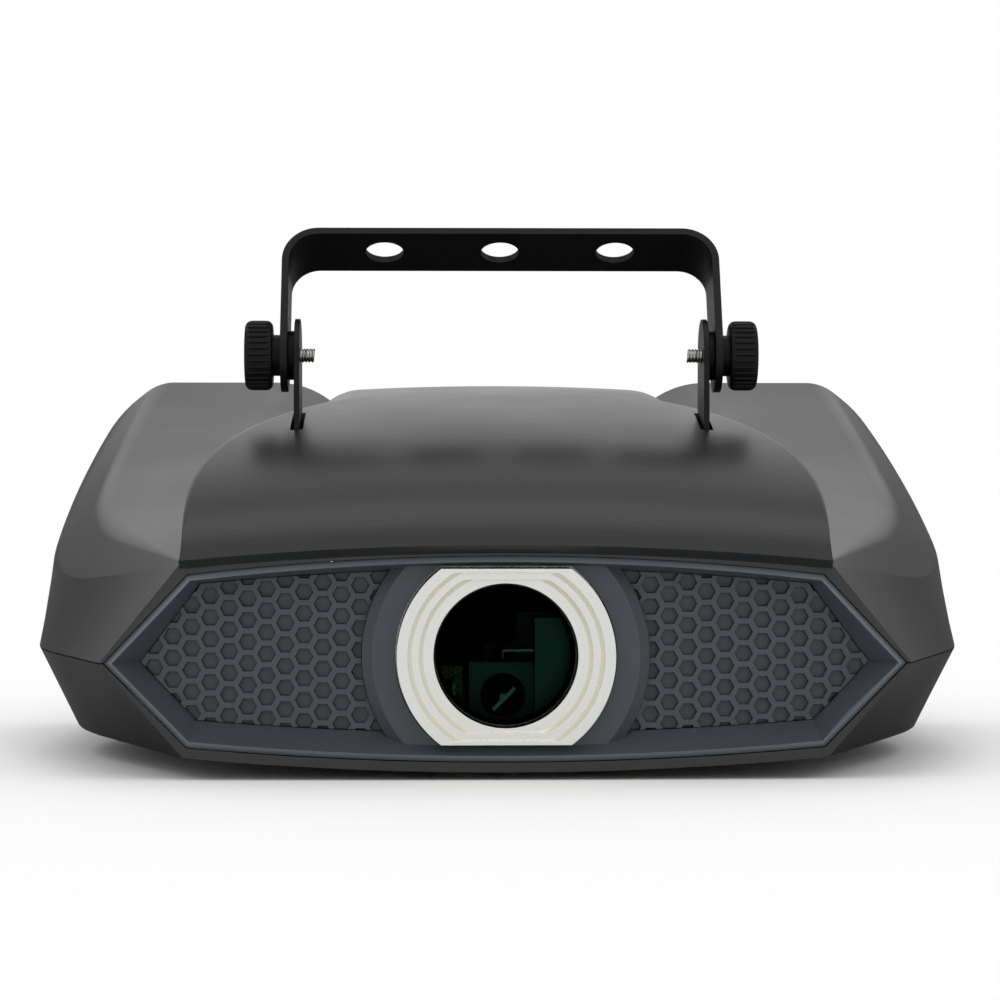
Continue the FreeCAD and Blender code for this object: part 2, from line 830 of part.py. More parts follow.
def panel_rods(radius, start_depth, end_depth):
    """Rods along Y at the places of the panel's screws."""
    return [Part.makeCylinder(radius, end_depth - start_depth,
                              Vector(x, back_from_front(start_depth), s.axis_height + rise), Y_AXIS)
            for x, rise in panel_screw_places()]


def inside_skin(pieces):
    return [piece.common(skin) for piece in pieces]


def tab_slots():
    width = s.tab_width + 2 * s.slot_margin
    across = s.tab_thickness + 2 * s.slot_margin
    slots = []
    for side in (-1, 1):
        x = side * (s.tab_half + s.tab_thickness / 2) - across / 2
        corner = Vector(x, back_from_front(s.pivot_depth) - width / 2, s.axis_height + s.lobe_rise)
        slots.append(Part.makeBox(across, width, crest - s.lobe_rise, corner))
    return slots


screw_top = seam_height + s.thread_length
screw_holes = [upright_rod(x, depth, s.screw_radius + s.clearance, 0, screw_top + s.clearance)
               for x, depth in screw_places()]
screw_seat = s.axis_height - s.lower_drop + s.screw_well
screw_wells = [upright_rod(x, depth, s.screw_head_radius + s.clearance, 0, screw_seat)
               for x, depth in screw_places()]
thread_start = panel_back - s.panel_thread
thread_holes = panel_rods(s.screw_radius + s.clearance, thread_start - s.clearance, panel_back + s.overrun)


def vents():
    slots = []
    for index in range(VENT_COUNT):
        x = (index - (VENT_COUNT - 1) / 2) * s.vent_pitch
        corner = Vector(x - s.vent_width / 2, back_from_front(s.vent_depth - s.vent_length / 2), 0)
        slots.append(Part.makeBox(s.vent_width, s.vent_length, s.base_height, corner))
    return slots


top_lugs = panel_lugs(s.rear_top_rise - s.lug_height - s.lug_length, crest)
top_form = housing.common(wide_box(seam, crest)).fuse(inside_skin(top_posts + top_lugs))
node("top_shell", solid("top_shell", top_form.cut(tab_slots() + screw_holes + thread_holes)))

bottom_lugs = panel_lugs(keel, -s.rear_lower_drop + s.lug_height)
bottom_form = housing.common(wide_box(keel, seam))
bottom_form = bottom_form.fuse(inside_skin(bottom_posts + bottom_lugs) + foot_bosses)
bottom_holes = screw_holes + screw_wells + thread_holes + vents()
node("bottom_shell", solid("bottom_shell", bottom_form.cut(bottom_holes)))

foot_outline = ((0, 0), ("foot_radius - foot_chamfer", 0), ("foot_radius", "foot_chamfer"),
                ("foot_radius", "foot_height"), (0, "foot_height"))
feet = []
for side in ("-", ""):
    for depth in ("foot_front_depth", "body_depth - foot_rear_inset"):
        foot = turned(f"foot_{len(feet)}", foot_outline)
        feet.append(place(foot, f"{side}foot_half", at_depth(depth), 0))
node("rubber_feet", group("rubber_feet", feet))

screws = []
for x, depth in screw_places():
    head = upright_rod(x, depth, s.screw_head_radius, screw_seat - s.screw_head, screw_seat)
    screws.append(head.fuse(upright_rod(x, depth, s.screw_radius, screw_seat, screw_top)))
node("case_screws", solid("case_screws", Part.makeCompound(screws)))

# Front frame: bevelled rim, sloping walls down to the honeycomb floor, and a collar round the window.
floor_depth = s.recess_depth + s.insert_thickness
frame_back = floor_depth + s.frame_wall
rim = Part.makeLoft([frame_wire(frame_corners(), s.frame_rim, 0),
                     frame_wire(frame_corners(), 0, s.frame_bevel)], True, True)
flange = frame_prism(frame_corners(), 0, s.frame_bevel, s.frame_flange)
tray = Part.makeLoft([frame_wire(frame_corners(), s.frame_rim + s.clearance, s.frame_flange),
                      frame_wire(recess_corners(), -s.frame_wall, s.recess_depth),
                      frame_wire(recess_corners(), -s.frame_wall, frame_back)], True, True)
recess = Part.makeLoft([frame_wire(frame_corners(), s.frame_rim, 0),
                        frame_wire(recess_corners(), 0, s.recess_depth),
                        frame_wire(recess_corners(), 0, floor_depth)], True, True)


def beam_rod(radius, start_depth, end_depth):
    start = Vector(0, back_from_front(start_depth), s.axis_height)
    return Part.makeCylinder(radius, end_depth - start_depth, start, Y_AXIS)


def beam_cone(radius, end_radius, start_depth, end_depth):
    start = Vector(0, back_from_front(start_depth), s.axis_height)
    return Part.makeCone(radius, end_radius, end_depth - start_depth, start, Y_AXIS)


def flats(half, start_depth, end_depth):
    """Slab that gives a round form its flat top and bottom."""
    width = 2 * s.collar_foot_radius
    return Part.makeBox(width, end_depth - start_depth, 2 * half,
                        Vector(-width / 2, back_from_front(start_depth), s.axis_height - half))


collar_end = s.collar_depth + s.collar_slope
collar = beam_cone(s.collar_radius, s.collar_foot_radius, s.collar_depth, collar_end)
collar = collar.fuse(beam_rod(s.collar_foot_radius, collar_end, floor_depth)).common(recess)
window_hole = beam_rod(s.bezel_radius + s.bezel_gap, -s.overrun, frame_back + s.overrun)
window_hole = window_hole.common(flats(s.bezel_flat + s.bezel_gap, -s.overrun, frame_back + s.overrun))
frame_form = rim.fuse([flange, tray]).cut(recess).fuse(collar).cut(window_hole)
node("front_frame", solid("front_frame", frame_form))


# Honeycomb inserts: blind six-sided pits in staggered columns, cut off at the border of the panel.

def cell(x, rise, depth, length):
    radius = (s.cell_pitch - s.cell_wall) / math.sqrt(3)
    turns = [math.tau * index / CELL_SIDES for index in range(CELL_SIDES)]
    corners = [(x + radius * math.cos(turn), rise + radius * math.sin(turn)) for turn in turns]
    wire = Part.makePolygon([point(corner, depth) for corner in corners + corners[:1]])
    return Part.Face(wire).extrude(Y_AXIS * length)


def insert_form(side, inset, start_depth, end_depth):
    slab = frame_prism(recess_corners(), inset, start_depth, end_depth)
    slab = slab.cut(beam_rod(s.collar_foot_radius + inset, start_depth, end_depth))
    half = Part.makeBox(s.frame_tip_half, end_depth - start_depth, 2 * s.axis_height,
                        Vector(0 if side > 0 else -s.frame_tip_half, back_from_front(start_depth), 0))
    return slab.common(half)


def cells(side, start_depth, end_depth):
    """Pits in columns; the rows slope down towards the window, along the lower edge of the panel."""
    column_pitch = s.cell_pitch * math.sqrt(3) / 2
    columns = int(s.recess_tip_half / column_pitch) + 1
    rows = int((s.recess_top_rise + s.lattice_drop) / s.cell_pitch) + 1
    first_column = int(s.bezel_flat / column_pitch)
    pits = []
    for column in range(first_column, columns):
        across = column * column_pitch - s.cell_shift
        middle_rise = across * LATTICE_SLOPE_SHARE - s.lattice_drop
        for row in range(-rows, rows + 1):
            rise = (row + column % 2 / 2) * s.cell_pitch + middle_rise
            pits.append(cell(side * across, rise, start_depth, end_depth - start_depth))
    return pits


for side_name, side in SIDES:
    pit_end = s.recess_depth + s.cell_depth
    pits = Part.makeCompound(cells(side, s.recess_depth, pit_end))
    border = insert_form(side, s.clearance + s.insert_border, s.recess_depth, pit_end)
    insert = insert_form(side, s.clearance, s.recess_depth, floor_depth).cut(pits.common(border))
    node(f"honeycomb_{side_name}", solid(f"honeycomb_{side_name}", insert))

# Silver window bezel: a round stepped funnel with flat top and bottom, held by a flange behind the frame.
grip_end = frame_back + s.bezel_flange
bezel = beam_rod(s.bezel_radius, -s.bezel_proud, s.bezel_back)
bezel = bezel.common(flats(s.bezel_flat, -s.bezel_proud, s.bezel_back))
grip = beam_rod(s.bezel_radius + s.bezel_flange_grip, frame_back, grip_end)
bezel = bezel.fuse(grip.common(flats(s.bezel_flat + s.bezel_flange_grip, frame_back, grip_end)))
steps = (
    (s.first_step_mouth, s.first_step_radius, -s.bezel_proud, s.first_step_depth, s.first_step_flat),
    (s.second_step_mouth, s.second_step_radius, s.first_step_depth, s.second_step_depth, s.second_step_flat),
    (s.aperture_mouth, s.aperture_radius, s.second_step_depth, s.aperture_depth, s.aperture_mouth),
)
for mouth, radius, start, end, flat in steps:
    bezel = bezel.cut(beam_cone(mouth, radius, start, end).common(flats(flat, start, end)))
bezel = bezel.cut(beam_rod(s.aperture_radius, s.aperture_depth, s.bezel_back))
bezel = bezel.cut(beam_rod(s.glass_radius + s.clearance, s.glass_depth, s.bezel_back + s.overrun))
node("bezel_ring", solid("bezel_ring", bezel))

glass_back = "glass_depth + glass_thickness"
glass = ring("window_glass", 0, "glass_radius", "glass_thickness")
node("window_glass", place(glass, 0, at_depth(glass_back), "axis_height", FACING_FRONT))
gasket = ring("window_gasket", "glass_radius - retainer_width", "glass_radius", "gasket_thickness")
gasket_back = f"{glass_back} + gasket_thickness"
node("window_gasket", place(gasket, 0, at_depth(gasket_back), "axis_height", FACING_FRONT))
retainer = ring("window_retainer", "glass_radius - retainer_width", "glass_radius",
                "bezel_back - glass_depth - glass_thickness - gasket_thickness")
node("window_retainer", place(retainer, 0, at_depth("bezel_back"), "axis_height", FACING_FRONT))

# Tab plates: steel strips that stand on the base plate on a turned foot and come up through the hood.
for side_name, side in SIDES:
    strip_low = "-tab_half - tab_thickness" if side < 0 else "tab_half"
    foot_low = "-tab_half - tab_thickness - tab_foot" if side < 0 else "tab_half + tab_thickness"
    edge = at_depth("pivot_depth - tab_width / 2")
    axle = (at_depth("pivot_depth"), at_rise("pivot_rise"))
    strip = block("tab_strip", strip_low, edge, BASE_TOP, "tab_thickness", "tab_width",
                  f"{at_rise('pivot_rise')} - {BASE_TOP}")
    head = rod("tab_head", strip_low, *axle, "tab_width / 2", "tab_thickness", FACING_RIGHT)
    foot = block("tab_foot", foot_low, edge, BASE_TOP, "tab_foot", "tab_width", "tab_thickness")
    hole = rod("tab_hole", f"{strip_low} - overrun", *axle, "stud_radius + running_fit",
               "tab_thickness + 2 * overrun", FACING_RIGHT)
    node(f"tab_plate_{side_name}", cut(f"tab_plate_{side_name}", fuse("tab_form", strip, head, foot), hole))

# Hanging bracket: a steel strip bent into a U, with rounded ends and three holes, leaning back at rest.
bracket_half = s.tab_half + s.tab_thickness + s.washer_thickness + s.bracket_sheet
LEG_FACE = "(tab_half + tab_thickness + washer_thickness)"
bracket_outline = (
    (f"-{LEG_FACE} - bracket_sheet", 0),
    (f"-{LEG_FACE}", 0),
    (f"-{LEG_FACE}", "bracket_reach - bracket_sheet"),
    (LEG_FACE, "bracket_reach - bracket_sheet"),
    (LEG_FACE, 0),
    (f"{LEG_FACE} + bracket_sheet", 0),
    (f"{LEG_FACE} + bracket_sheet", "bracket_reach"),
    (f"-{LEG_FACE} - bracket_sheet", "bracket_reach"),
)
bracket_body = plate("bracket_strip", "XZ_Plane", bracket_outline, "bracket_width")
document.recompute()


def bend_edges(shape, reach, half):
    """Names of the two edges across the strip where it is bent, on its outer or its inner face."""
    names = []
    for number, edge in enumerate(shape.Edges, start=1):
        middle = edge.CenterOfMass
        found = (round(abs(middle.x), MATCH_DIGITS), round(middle.z, MATCH_DIGITS))
        if found == (round(half, MATCH_DIGITS), round(reach, MATCH_DIGITS)):
            names.append(f"Edge{number}")
    return names


def round_bend(name, reach, half, radius):
    before = bracket_body.Tip
    bend = bracket_body.newObject("PartDesign::Fillet", name)
    bend.Base = (before, bend_edges(before.Shape, reach, half))
    bind(bend, Radius=radius)
    document.recompute()


round_bend("outer_bend", s.bracket_reach, bracket_half, "bracket_bend")
round_bend("inner_bend", s.bracket_reach - s.bracket_sheet, bracket_half - s.bracket_sheet,
           "bracket_bend - bracket_sheet")
ends = [rod("bracket_end", low, 0, 0, "bracket_width / 2", "bracket_sheet", FACING_RIGHT)
        for low in (LEG_FACE, f"-{LEG_FACE} - bracket_sheet")]
pivot_hole = rod("pivot_hole", f"-{LEG_FACE} - bracket_sheet - overrun", 0, 0,
                 "stud_radius + running_fit", f"2 * ({LEG_FACE} + bracket_sheet + overrun)", FACING_RIGHT)
bolt_holes = [rod("bolt_hole", x, 0, "bracket_reach - bracket_sheet - overrun", "hole_radius",
                  "bracket_sheet + 2 * overrun") for x in ("-hole_spacing", 0, "hole_spacing")]
bracket = cut("bracket", fuse("bracket_form", bracket_body, *ends), pivot_hole, *bolt_holes)
node("bracket", place(bracket, 0, at_depth("pivot_depth"), at_rise("pivot_rise"),
                      FreeCAD.Rotation(X_AXIS, -s.bracket_lean)))

# Clamps: a washer between tab and bracket, and a knurled knob moulded on a threaded stud.
STUD_LENGTH = ("stud_reach + tab_thickness + washer_thickness + bracket_sheet"
               " + knob_neck + knob_length - knob_dish")
washer_outline = (
    ("stud_radius + running_fit", 0),
    ("washer_radius", 0),
    ("washer_radius", "washer_thickness"),
    ("stud_radius + running_fit", "washer_thickness"),
)
knob_outline = (
    ("stud_radius", 0),
    ("knob_neck_radius", 0),
    ("knob_neck_radius", "knob_neck"),
    ("knob_radius - knob_edge", "knob_neck"),
    ("knob_radius", "knob_neck + knob_edge"),
    ("knob_radius", "knob_neck + knob_length - knob_edge"),
    ("knob_radius - knob_edge", "knob_neck + knob_length"),
    ("knob_dish_radius + knob_edge", "knob_neck + knob_length"),
    ("knob_dish_radius", "knob_neck + knob_length - knob_dish"),
    ("stud_radius", "knob_neck + knob_length - knob_dish"),
)
for side_name, side in SIDES:
    sign = "-" if side < 0 else ""
    outwards = FACING_RIGHT if side > 0 else FACING_LEFT
    axle = (at_depth("pivot_depth"), at_rise("pivot_rise"), outwards)
    washer = turned(f"washer_{side_name}", washer_outline)
    node(f"friction_washer_{side_name}", place(washer, f"{sign}(tab_half + tab_thickness)", *axle))
    knob = turned(f"knob_{side_name}", knob_outline)
    document.recompute()
    groove_plane = knob.newObject("Sketcher::SketchObject", f"knurl_{side_name}")
    groove_plane.AttachmentSupport = [(origin_plane(knob, "XY_Plane"), "")]
    groove_plane.MapMode = "FlatFace"
    groove_plane.addGeometry(Part.Circle(Vector(s.knob_radius, 0, 0), Z_AXIS, s.knurl_radius))
    groove_plane.addConstraint(Sketcher.Constraint("PointOnObject", 0, 3, -1))
    place_held = groove_plane.addConstraint(Sketcher.Constraint("DistanceX", -1, 1, 0, 3, s.knob_radius))
    groove_plane.setExpression(f"Constraints[{place_held}]", linked("knob_radius"))
    radius_held = groove_plane.addConstraint(Sketcher.Constraint("Radius", 0, s.knurl_radius))
    groove_plane.setExpression(f"Constraints[{radius_held}]", linked("knurl_radius"))
    groove = knob.newObject("PartDesign::Pocket", f"groove_{side_name}")
    groove.Profile = groove_plane
    groove.Type = "ThroughAll"
    groove.Midplane = True
    knurl = knob.newObject("PartDesign::PolarPattern", f"knurling_{side_name}")
    knurl.Originals = [groove]
    knurl.Axis = (groove_plane, ["N_Axis"])
    knurl.Angle = 360
    knurl.Occurrences = KNURL_COUNT
    knob.Tip = knurl
    node(f"clamp_knob_{side_name}", place(knob, f"{sign}({LEG_FACE} + bracket_sheet)", *axle))
    stud = ring(f"stud_{side_name}", 0, "stud_radius", STUD_LENGTH)
    node(f"clamp_stud_{side_name}", place(stud, f"{sign}(tab_half - stud_reach)", *axle))

# Optical base plate: aluminium, on posts of the bottom shell, with standoffs for the boards.
DRIVER_X = "driver_inner"
DRIVER_Y = at_depth("driver_depth")
CONTROL_X = "-rear_board_inner - control_width"
REAR_Y = at_depth("rear_board_depth")


def standoffs(name, x, y, width, length):
    """Four short posts under the corners of a board."""
    posts = []
    for across in ("standoff_radius", f"{width} - standoff_radius"):
        for along in ("standoff_radius", f"{length} - standoff_radius"):
            posts.append(rod(name, f"{x} + {across}", f"{y} + {along}", "base_height + base_thickness - lip",
                             "standoff_radius", "standoff_height + lip"))
    return posts


base_slab = block("base_slab", "-base_half", at_depth("base_front_depth"), "base_height", "2 * base_half",
                  "base_length", "base_thickness")
base_posts = standoffs("driver_post", DRIVER_X, DRIVER_Y, "driver_width", "driver_length")
base_posts += standoffs("control_post", CONTROL_X, REAR_Y, "control_width", "control_length")
node("optical_base", fuse("optical_base", base_slab, *base_posts))


def board(name, x, y, width, length, chips):
    """Circuit board on its standoffs, with its larger components as blocks given in shares of the board."""
    slab = block(name + "_slab", x, y, f"{BASE_TOP} + standoff_height", width, length, "board_thickness")
    blocks = [slab]
    for across_share, along_share, width_share, length_share, height_share in chips:
        chip_x = f"{x} + {width} * {across_share}"
        chip_y = f"{y} + {length} * {along_share}"
        chip_z = f"{BASE_TOP} + standoff_height + board_thickness"
        blocks.append(block(name + "_chip", chip_x, chip_y, chip_z, f"{width} * {width_share}",
                            f"{length} * {length_share}", f"chip_height * {height_share}"))
    return fuse(name, *blocks)


DRIVER_CHIP_SHARES = ((0.1, 0.1, 0.3, 0.2, 1.6), (0.55, 0.1, 0.3, 0.2, 1.6), (0.15, 0.5, 0.22, 0.16, 0.5),
                      (0.6, 0.5, 0.22, 0.16, 0.5), (0.2, 0.82, 0.6, 0.12, 1.4))
CONTROL_CHIP_SHARES = ((0.1, 0.15, 0.25, 0.3, 0.4), (0.5, 0.2, 0.16, 0.2, 0.4), (0.1, 0.78, 0.35, 0.16, 1.4),
                       (0.6, 0.7, 0.25, 0.22, 1.8))
node("driver_board", board("driver_board", DRIVER_X, DRIVER_Y, "driver_width", "driver_length",
                           DRIVER_CHIP_SHARES))
node("control_board", board("control_board", CONTROL_X, REAR_Y, "control_width", "control_length",
                            CONTROL_CHIP_SHARES))
supply_case = block("supply_case", "rear_board_inner", REAR_Y, BASE_TOP, "supply_width", "supply_length",
                    "supply_height")
supply_slots = [block("supply_slot", f"rear_board_inner + supply_width * {share}",
                      f"{REAR_Y} + supply_length * {SUPPLY_SLOT_START_SHARE}",
                      f"{BASE_TOP} + supply_height - wall", "fin_thickness",
                      f"supply_length * {SUPPLY_SLOT_LENGTH_SHARE}", "wall + overrun")
                for share in SUPPLY_SLOT_SHARES]
node("power_supply", cut("power_supply", supply_case, *supply_slots))

# Lasers side by side, each firing forward at a slanted mirror that turns its beam along the common line.
BEAM_Z = "(axis_height - beam_drop)"
LASER_PLACES = [f"-(laser_first + laser_pitch * {index})" for index in range(len(LASER_NAMES))]
LASER_Y = at_depth("laser_depth")
mirror_z = f"{BASE_TOP} + combiner_mount + combiner_width / 2"
mirror_outline = (
    ("-combiner_width / 2", "-combiner_width / 2"),
    ("combiner_width / 2", "-combiner_width / 2"),
    ("combiner_width / 2", "combiner_width / 2"),
    ("-combiner_width / 2", "combiner_width / 2"),
)
for laser_name, mirror_name, x in zip(LASER_NAMES, MIRROR_NAMES, LASER_PLACES):
    module = block("laser_module", f"{x} - laser_width / 2", LASER_Y, BASE_TOP, "laser_width",
                   "laser_length", "laser_height")
    barrel = rod("laser_barrel", x, LASER_Y, BEAM_Z, "barrel_radius", "barrel_length", FACING_FRONT)
    node(laser_name, fuse(laser_name, module, barrel))
    mirror = plate(mirror_name, "XZ_Plane", mirror_outline, "combiner_thickness")
    mirror_turn = FreeCAD.Rotation(Z_AXIS, -MIRROR_TURN)
    node(mirror_name, place(mirror, x, at_depth("scan_depth"), mirror_z, mirror_turn))
mounts = [block("mirror_mount", f"{x} - combiner_width / 2", at_depth("scan_depth - combiner_width / 2"),
                BASE_TOP, "combiner_width", "combiner_width", "combiner_mount") for x in LASER_PLACES]
node("mirror_mounts", group("mirror_mounts", mounts))

# Heat sink against the backs of the lasers: a thick base with upright fins.
sink_x = f"{LASER_PLACES[-1]} - laser_width / 2"
sink_width = f"({len(LASER_NAMES) - 1} * laser_pitch + laser_width)"
sink_y = at_depth("laser_depth + laser_length")
fins = [block("sink_base", sink_x, sink_y, BASE_TOP, sink_width, "sink_base", "sink_height")]
for index in range(FIN_COUNT):
    fin_x = f"{sink_x} + ({sink_width} - fin_thickness) * {index} / {FIN_COUNT - 1}"
    fins.append(block("sink_fin", fin_x, sink_y, BASE_TOP, "fin_thickness", "sink_length", "sink_height"))
node("heat_sink", fuse("heat_sink", *fins))

# Scanner: the line motor lies along Y below the beam axis, the frame motor along X on the beam axis.
MOTOR_BORE = "motor_radius + running_fit"
SCAN_Y = at_depth("scan_depth")
line_block = block("line_block", "-motor_radius - scan_block_wall", f"{SCAN_Y} + motor_offset", BASE_TOP,
                   "2 * motor_radius + 2 * scan_block_wall", "scan_block_length",
                   f"{BEAM_Z} + motor_radius + scan_block_wall - {BASE_TOP}")
frame_block = block("frame_block", "motor_offset", f"{SCAN_Y} - motor_radius - scan_block_wall", BASE_TOP,
                    "scan_block_length", "2 * motor_radius + 2 * scan_block_wall",
                    f"axis_height + motor_radius + scan_block_wall - {BASE_TOP}")
line_bore = rod("line_bore", 0, f"{SCAN_Y} + motor_offset - overrun", BEAM_Z, MOTOR_BORE,
                "scan_block_length + 2 * overrun", FACING_BACK)
frame_bore = rod("frame_bore", "motor_offset - overrun", SCAN_Y, "axis_height", MOTOR_BORE,
                 "scan_block_length + 2 * overrun", FACING_RIGHT)
scanner_form = fuse("scanner_form", line_block, frame_block)
node("scanner_block", cut("scanner_block", scanner_form, line_bore, frame_bore))

motor_outline = (("shaft_radius + running_fit", 0), ("motor_radius", 0), ("motor_radius", "motor_length"),
                 (0, "motor_length"), (0, "shaft_grip"), ("shaft_radius + running_fit", "shaft_grip"))
line_motor = turned("line_motor", motor_outline)
node("line_motor", place(line_motor, 0, f"{SCAN_Y} + motor_offset", BEAM_Z, FACING_BACK))
frame_motor = turned("frame_motor", motor_outline)
node("frame_motor", place(frame_motor, "motor_offset", SCAN_Y, "axis_height", FACING_RIGHT))


def scan_mirror(name):
    """Mirror on its shaft, drawn with the shaft along Z and the reflecting face towards +X."""
    shaft = rod(name + "_shaft", 0, 0, 0, "shaft_radius", "motor_offset + shaft_grip - lip")
    face = block(name + "_face", "-mirror_thickness / 2", "-mirror_width / 2", "-mirror_length / 2",
                 "mirror_thickness", "mirror_width", "mirror_length")
    return fuse(name, shaft, face)


line_mirror = scan_mirror("line_mirror")
line_turn = FACING_BACK.multiply(FreeCAD.Rotation(Z_AXIS, MIRROR_TURN))
node("line_mirror", place(line_mirror, 0, SCAN_Y, BEAM_Z, line_turn))
frame_mirror = scan_mirror("frame_mirror")
frame_turn = FACING_RIGHT.multiply(FreeCAD.Rotation(Z_AXIS, -MIRROR_TURN))
node("frame_mirror", place(frame_mirror, 0, SCAN_Y, "axis_height", frame_turn))

# Rear panel: a plate that fills the rear of the housing behind its rim, with a hole for each fitting.

def panel_cut(name, across, rise, width, height):
    """Opening through the panel with room round the fitting."""
    return centred_block(name, across, f"{PANEL_BACK} - overrun", at_rise(rise), f"{width} + 2 * clearance",
                         "panel_thickness + 2 * overrun", f"{height} + 2 * clearance")


def panel_hole(name, across, rise, radius):
    return rod(name, across, f"{PANEL_BACK} - overrun", at_rise(rise), f"{radius} + clearance",
               "panel_thickness + 2 * overrun", FACING_BACK)


def outside(name, across, rise, width, height, thickness):
    """Block on the outer face of the panel."""
    return centred_block(name, across, PANEL_FACE, at_rise(rise), width, thickness, height)


def through(name, across, rise, width, height, length):
    """Block that runs inwards from the outer face of the panel."""
    return centred_block(name, across, f"{PANEL_FACE} - {length}", at_rise(rise), width, length, height)


SOCKETS = (("signal_in", "socket_first"), ("signal_out", "socket_first + socket_pitch"))
BUTTON_PLACES = [(name, f"display_across + button_pitch * ({index} - {(len(BUTTON_NAMES) - 1) / 2})")
                 for index, name in enumerate(BUTTON_NAMES)]
EYE_LEGS = ("-eye_radius", "eye_radius")

slab = Part.makeBox(2 * s.waist_half, s.panel_thickness, s.axis_height + crest,
                    Vector(-s.waist_half, back_from_front(panel_back), 0))
panel_form = housing_form(s.frame_flange, s.body_depth + s.overrun, s.wall + s.clearance).common(slab)
blank = solid("panel_blank", panel_form.cut(thread_holes))
holes = [panel_hole("fan_hole", "fan_across", "fan_rise", "fan_bore - clearance"),
         panel_cut("inlet_cut", "inlet_across", "inlet_rise", "inlet_width", "inlet_height"),
         panel_cut("rocker_cut", "rocker_across", "rocker_rise", "rocker_frame_width",
                   "rocker_frame_height"),
         panel_hole("key_hole", "key_across", "key_rise", "key_thread_radius"),
         panel_cut("remote_cut", "remote_across", "socket_rise", "remote_width - 2 * wall",
                   "remote_height - 2 * wall"),
         panel_cut("display_cut", "display_across", "display_rise", "display_width", "display_height")]
holes += [panel_hole("socket_hole", across, "socket_rise", "socket_radius") for name, across in SOCKETS]
holes += [panel_hole("button_hole", across, "button_rise", "button_radius")
          for name, across in BUTTON_PLACES]
holes += [panel_hole("eye_hole", across, "eye_rise", "eye_wire") for across in EYE_LEGS]
node("rear_panel", cut("rear_panel", blank, *holes))

panel_face = panel_back + s.panel_thickness
heads = panel_rods(s.screw_head_radius, panel_face, panel_face + s.screw_head)
shanks = panel_rods(s.screw_radius, thread_start, panel_face)
screws = [head.fuse(shank) for head, shank in zip(heads, shanks)]
node("panel_screws", solid("panel_screws", Part.makeCompound(screws)))

# Mains inlet: flange and hollow body with three flat pins. No lead is plugged in.
inlet_recess = through("inlet_recess", "inlet_across", "inlet_rise", "inlet_width - 2 * inlet_wall",
                       "inlet_height - 2 * inlet_wall", "(inlet_body - inlet_wall)")
inlet_mouth = outside("inlet_mouth", "inlet_across", "inlet_rise", "inlet_width - 2 * inlet_wall",
                      "inlet_height - 2 * inlet_wall", "flange_thickness")
inlet_flange = outside("inlet_flange", "inlet_across", "inlet_rise", "inlet_flange_width",
                       "inlet_flange_height", "flange_thickness")
inlet_case = through("inlet_case", "inlet_across", "inlet_rise", "inlet_width", "inlet_height", "inlet_body")
inlet_form = fuse("inlet_form", inlet_flange, inlet_case)
inlet_shell = cut("inlet_shell", inlet_form, inlet_recess, inlet_mouth)
PIN_PLACES = (("-pin_spacing", "-pin_offset"), (0, "pin_offset"), ("pin_spacing", "-pin_offset"))
inlet_floor = f"{PANEL_FACE} - inlet_body + inlet_wall"
inlet_pins = [centred_block("inlet_pin", f"inlet_across + {across}", f"{inlet_floor} - lip",
                            at_rise(f"inlet_rise + {up}"), "pin_width", "pin_length + lip", "pin_height")
              for across, up in PIN_PLACES]
node("mains_inlet", fuse("mains_inlet", inlet_shell, *inlet_pins))

# Power switch: a framed well with a rocker that tips on its middle.
switch_case = through("switch_case", "rocker_across", "rocker_rise", "rocker_frame_width",
                      "rocker_frame_height", "rocker_body")
switch_rim = outside("switch_rim", "rocker_across", "rocker_rise", "rocker_frame_width + 2 * rocker_rim",
                     "rocker_frame_height + 2 * rocker_rim", "flange_thickness")
switch_well = centred_block("switch_well", "rocker_across", f"{PANEL_FACE} - rocker_body + wall",
                            at_rise("rocker_rise"), "rocker_width + 2 * rocker_gap",
                            "rocker_body - wall + flange_thickness", "rocker_frame_height - 2 * lip")
node("switch_body", cut("switch_body", fuse("switch_form", switch_case, switch_rim), switch_well))
rocker_outline = (
    ("-rocker_root", "-rocker_height / 2"),
    ("flange_thickness + rocker_dish", "-rocker_height / 2"),
    ("flange_thickness", 0),
    ("flange_thickness + rocker_dish", "rocker_height / 2"),
    ("-rocker_root", "rocker_height / 2"),
)
rocker = plate("rocker", "YZ_Plane", rocker_outline, "rocker_width")
node("power_rocker", place(rocker, "rocker_across", PANEL_FACE, at_rise("rocker_rise"),
                           FreeCAD.Rotation(X_AXIS, s.rocker_tilt)))

# Key switch: a collared body with a barrel that turns in it. The key is taken out.
key_outline = (
    ("key_barrel_radius + running_fit", "-key_body"),
    ("key_thread_radius", "-key_body"),
    ("key_thread_radius", 0),
    ("key_collar_radius", 0),
    ("key_collar_radius", "key_collar - key_chamfer"),
    ("key_collar_radius - key_chamfer", "key_collar"),
    ("key_barrel_radius + running_fit", "key_collar"),
)
key_place = ("key_across", PANEL_FACE, at_rise("key_rise"), FACING_BACK)
node("key_switch_body", place(turned("key_switch", key_outline), *key_place))
barrel = ring("key_barrel_form", 0, "key_barrel_radius", "key_body + key_collar")
place(barrel, 0, 0, "-key_body")
key_slot = block("key_slot", "-key_slot_width / 2", "-key_slot_height / 2", "key_collar - key_slot_depth",
                 "key_slot_width", "key_slot_height", "key_slot_depth + overrun")
node("key_barrel", place(cut("key_barrel", barrel, key_slot), *key_place))

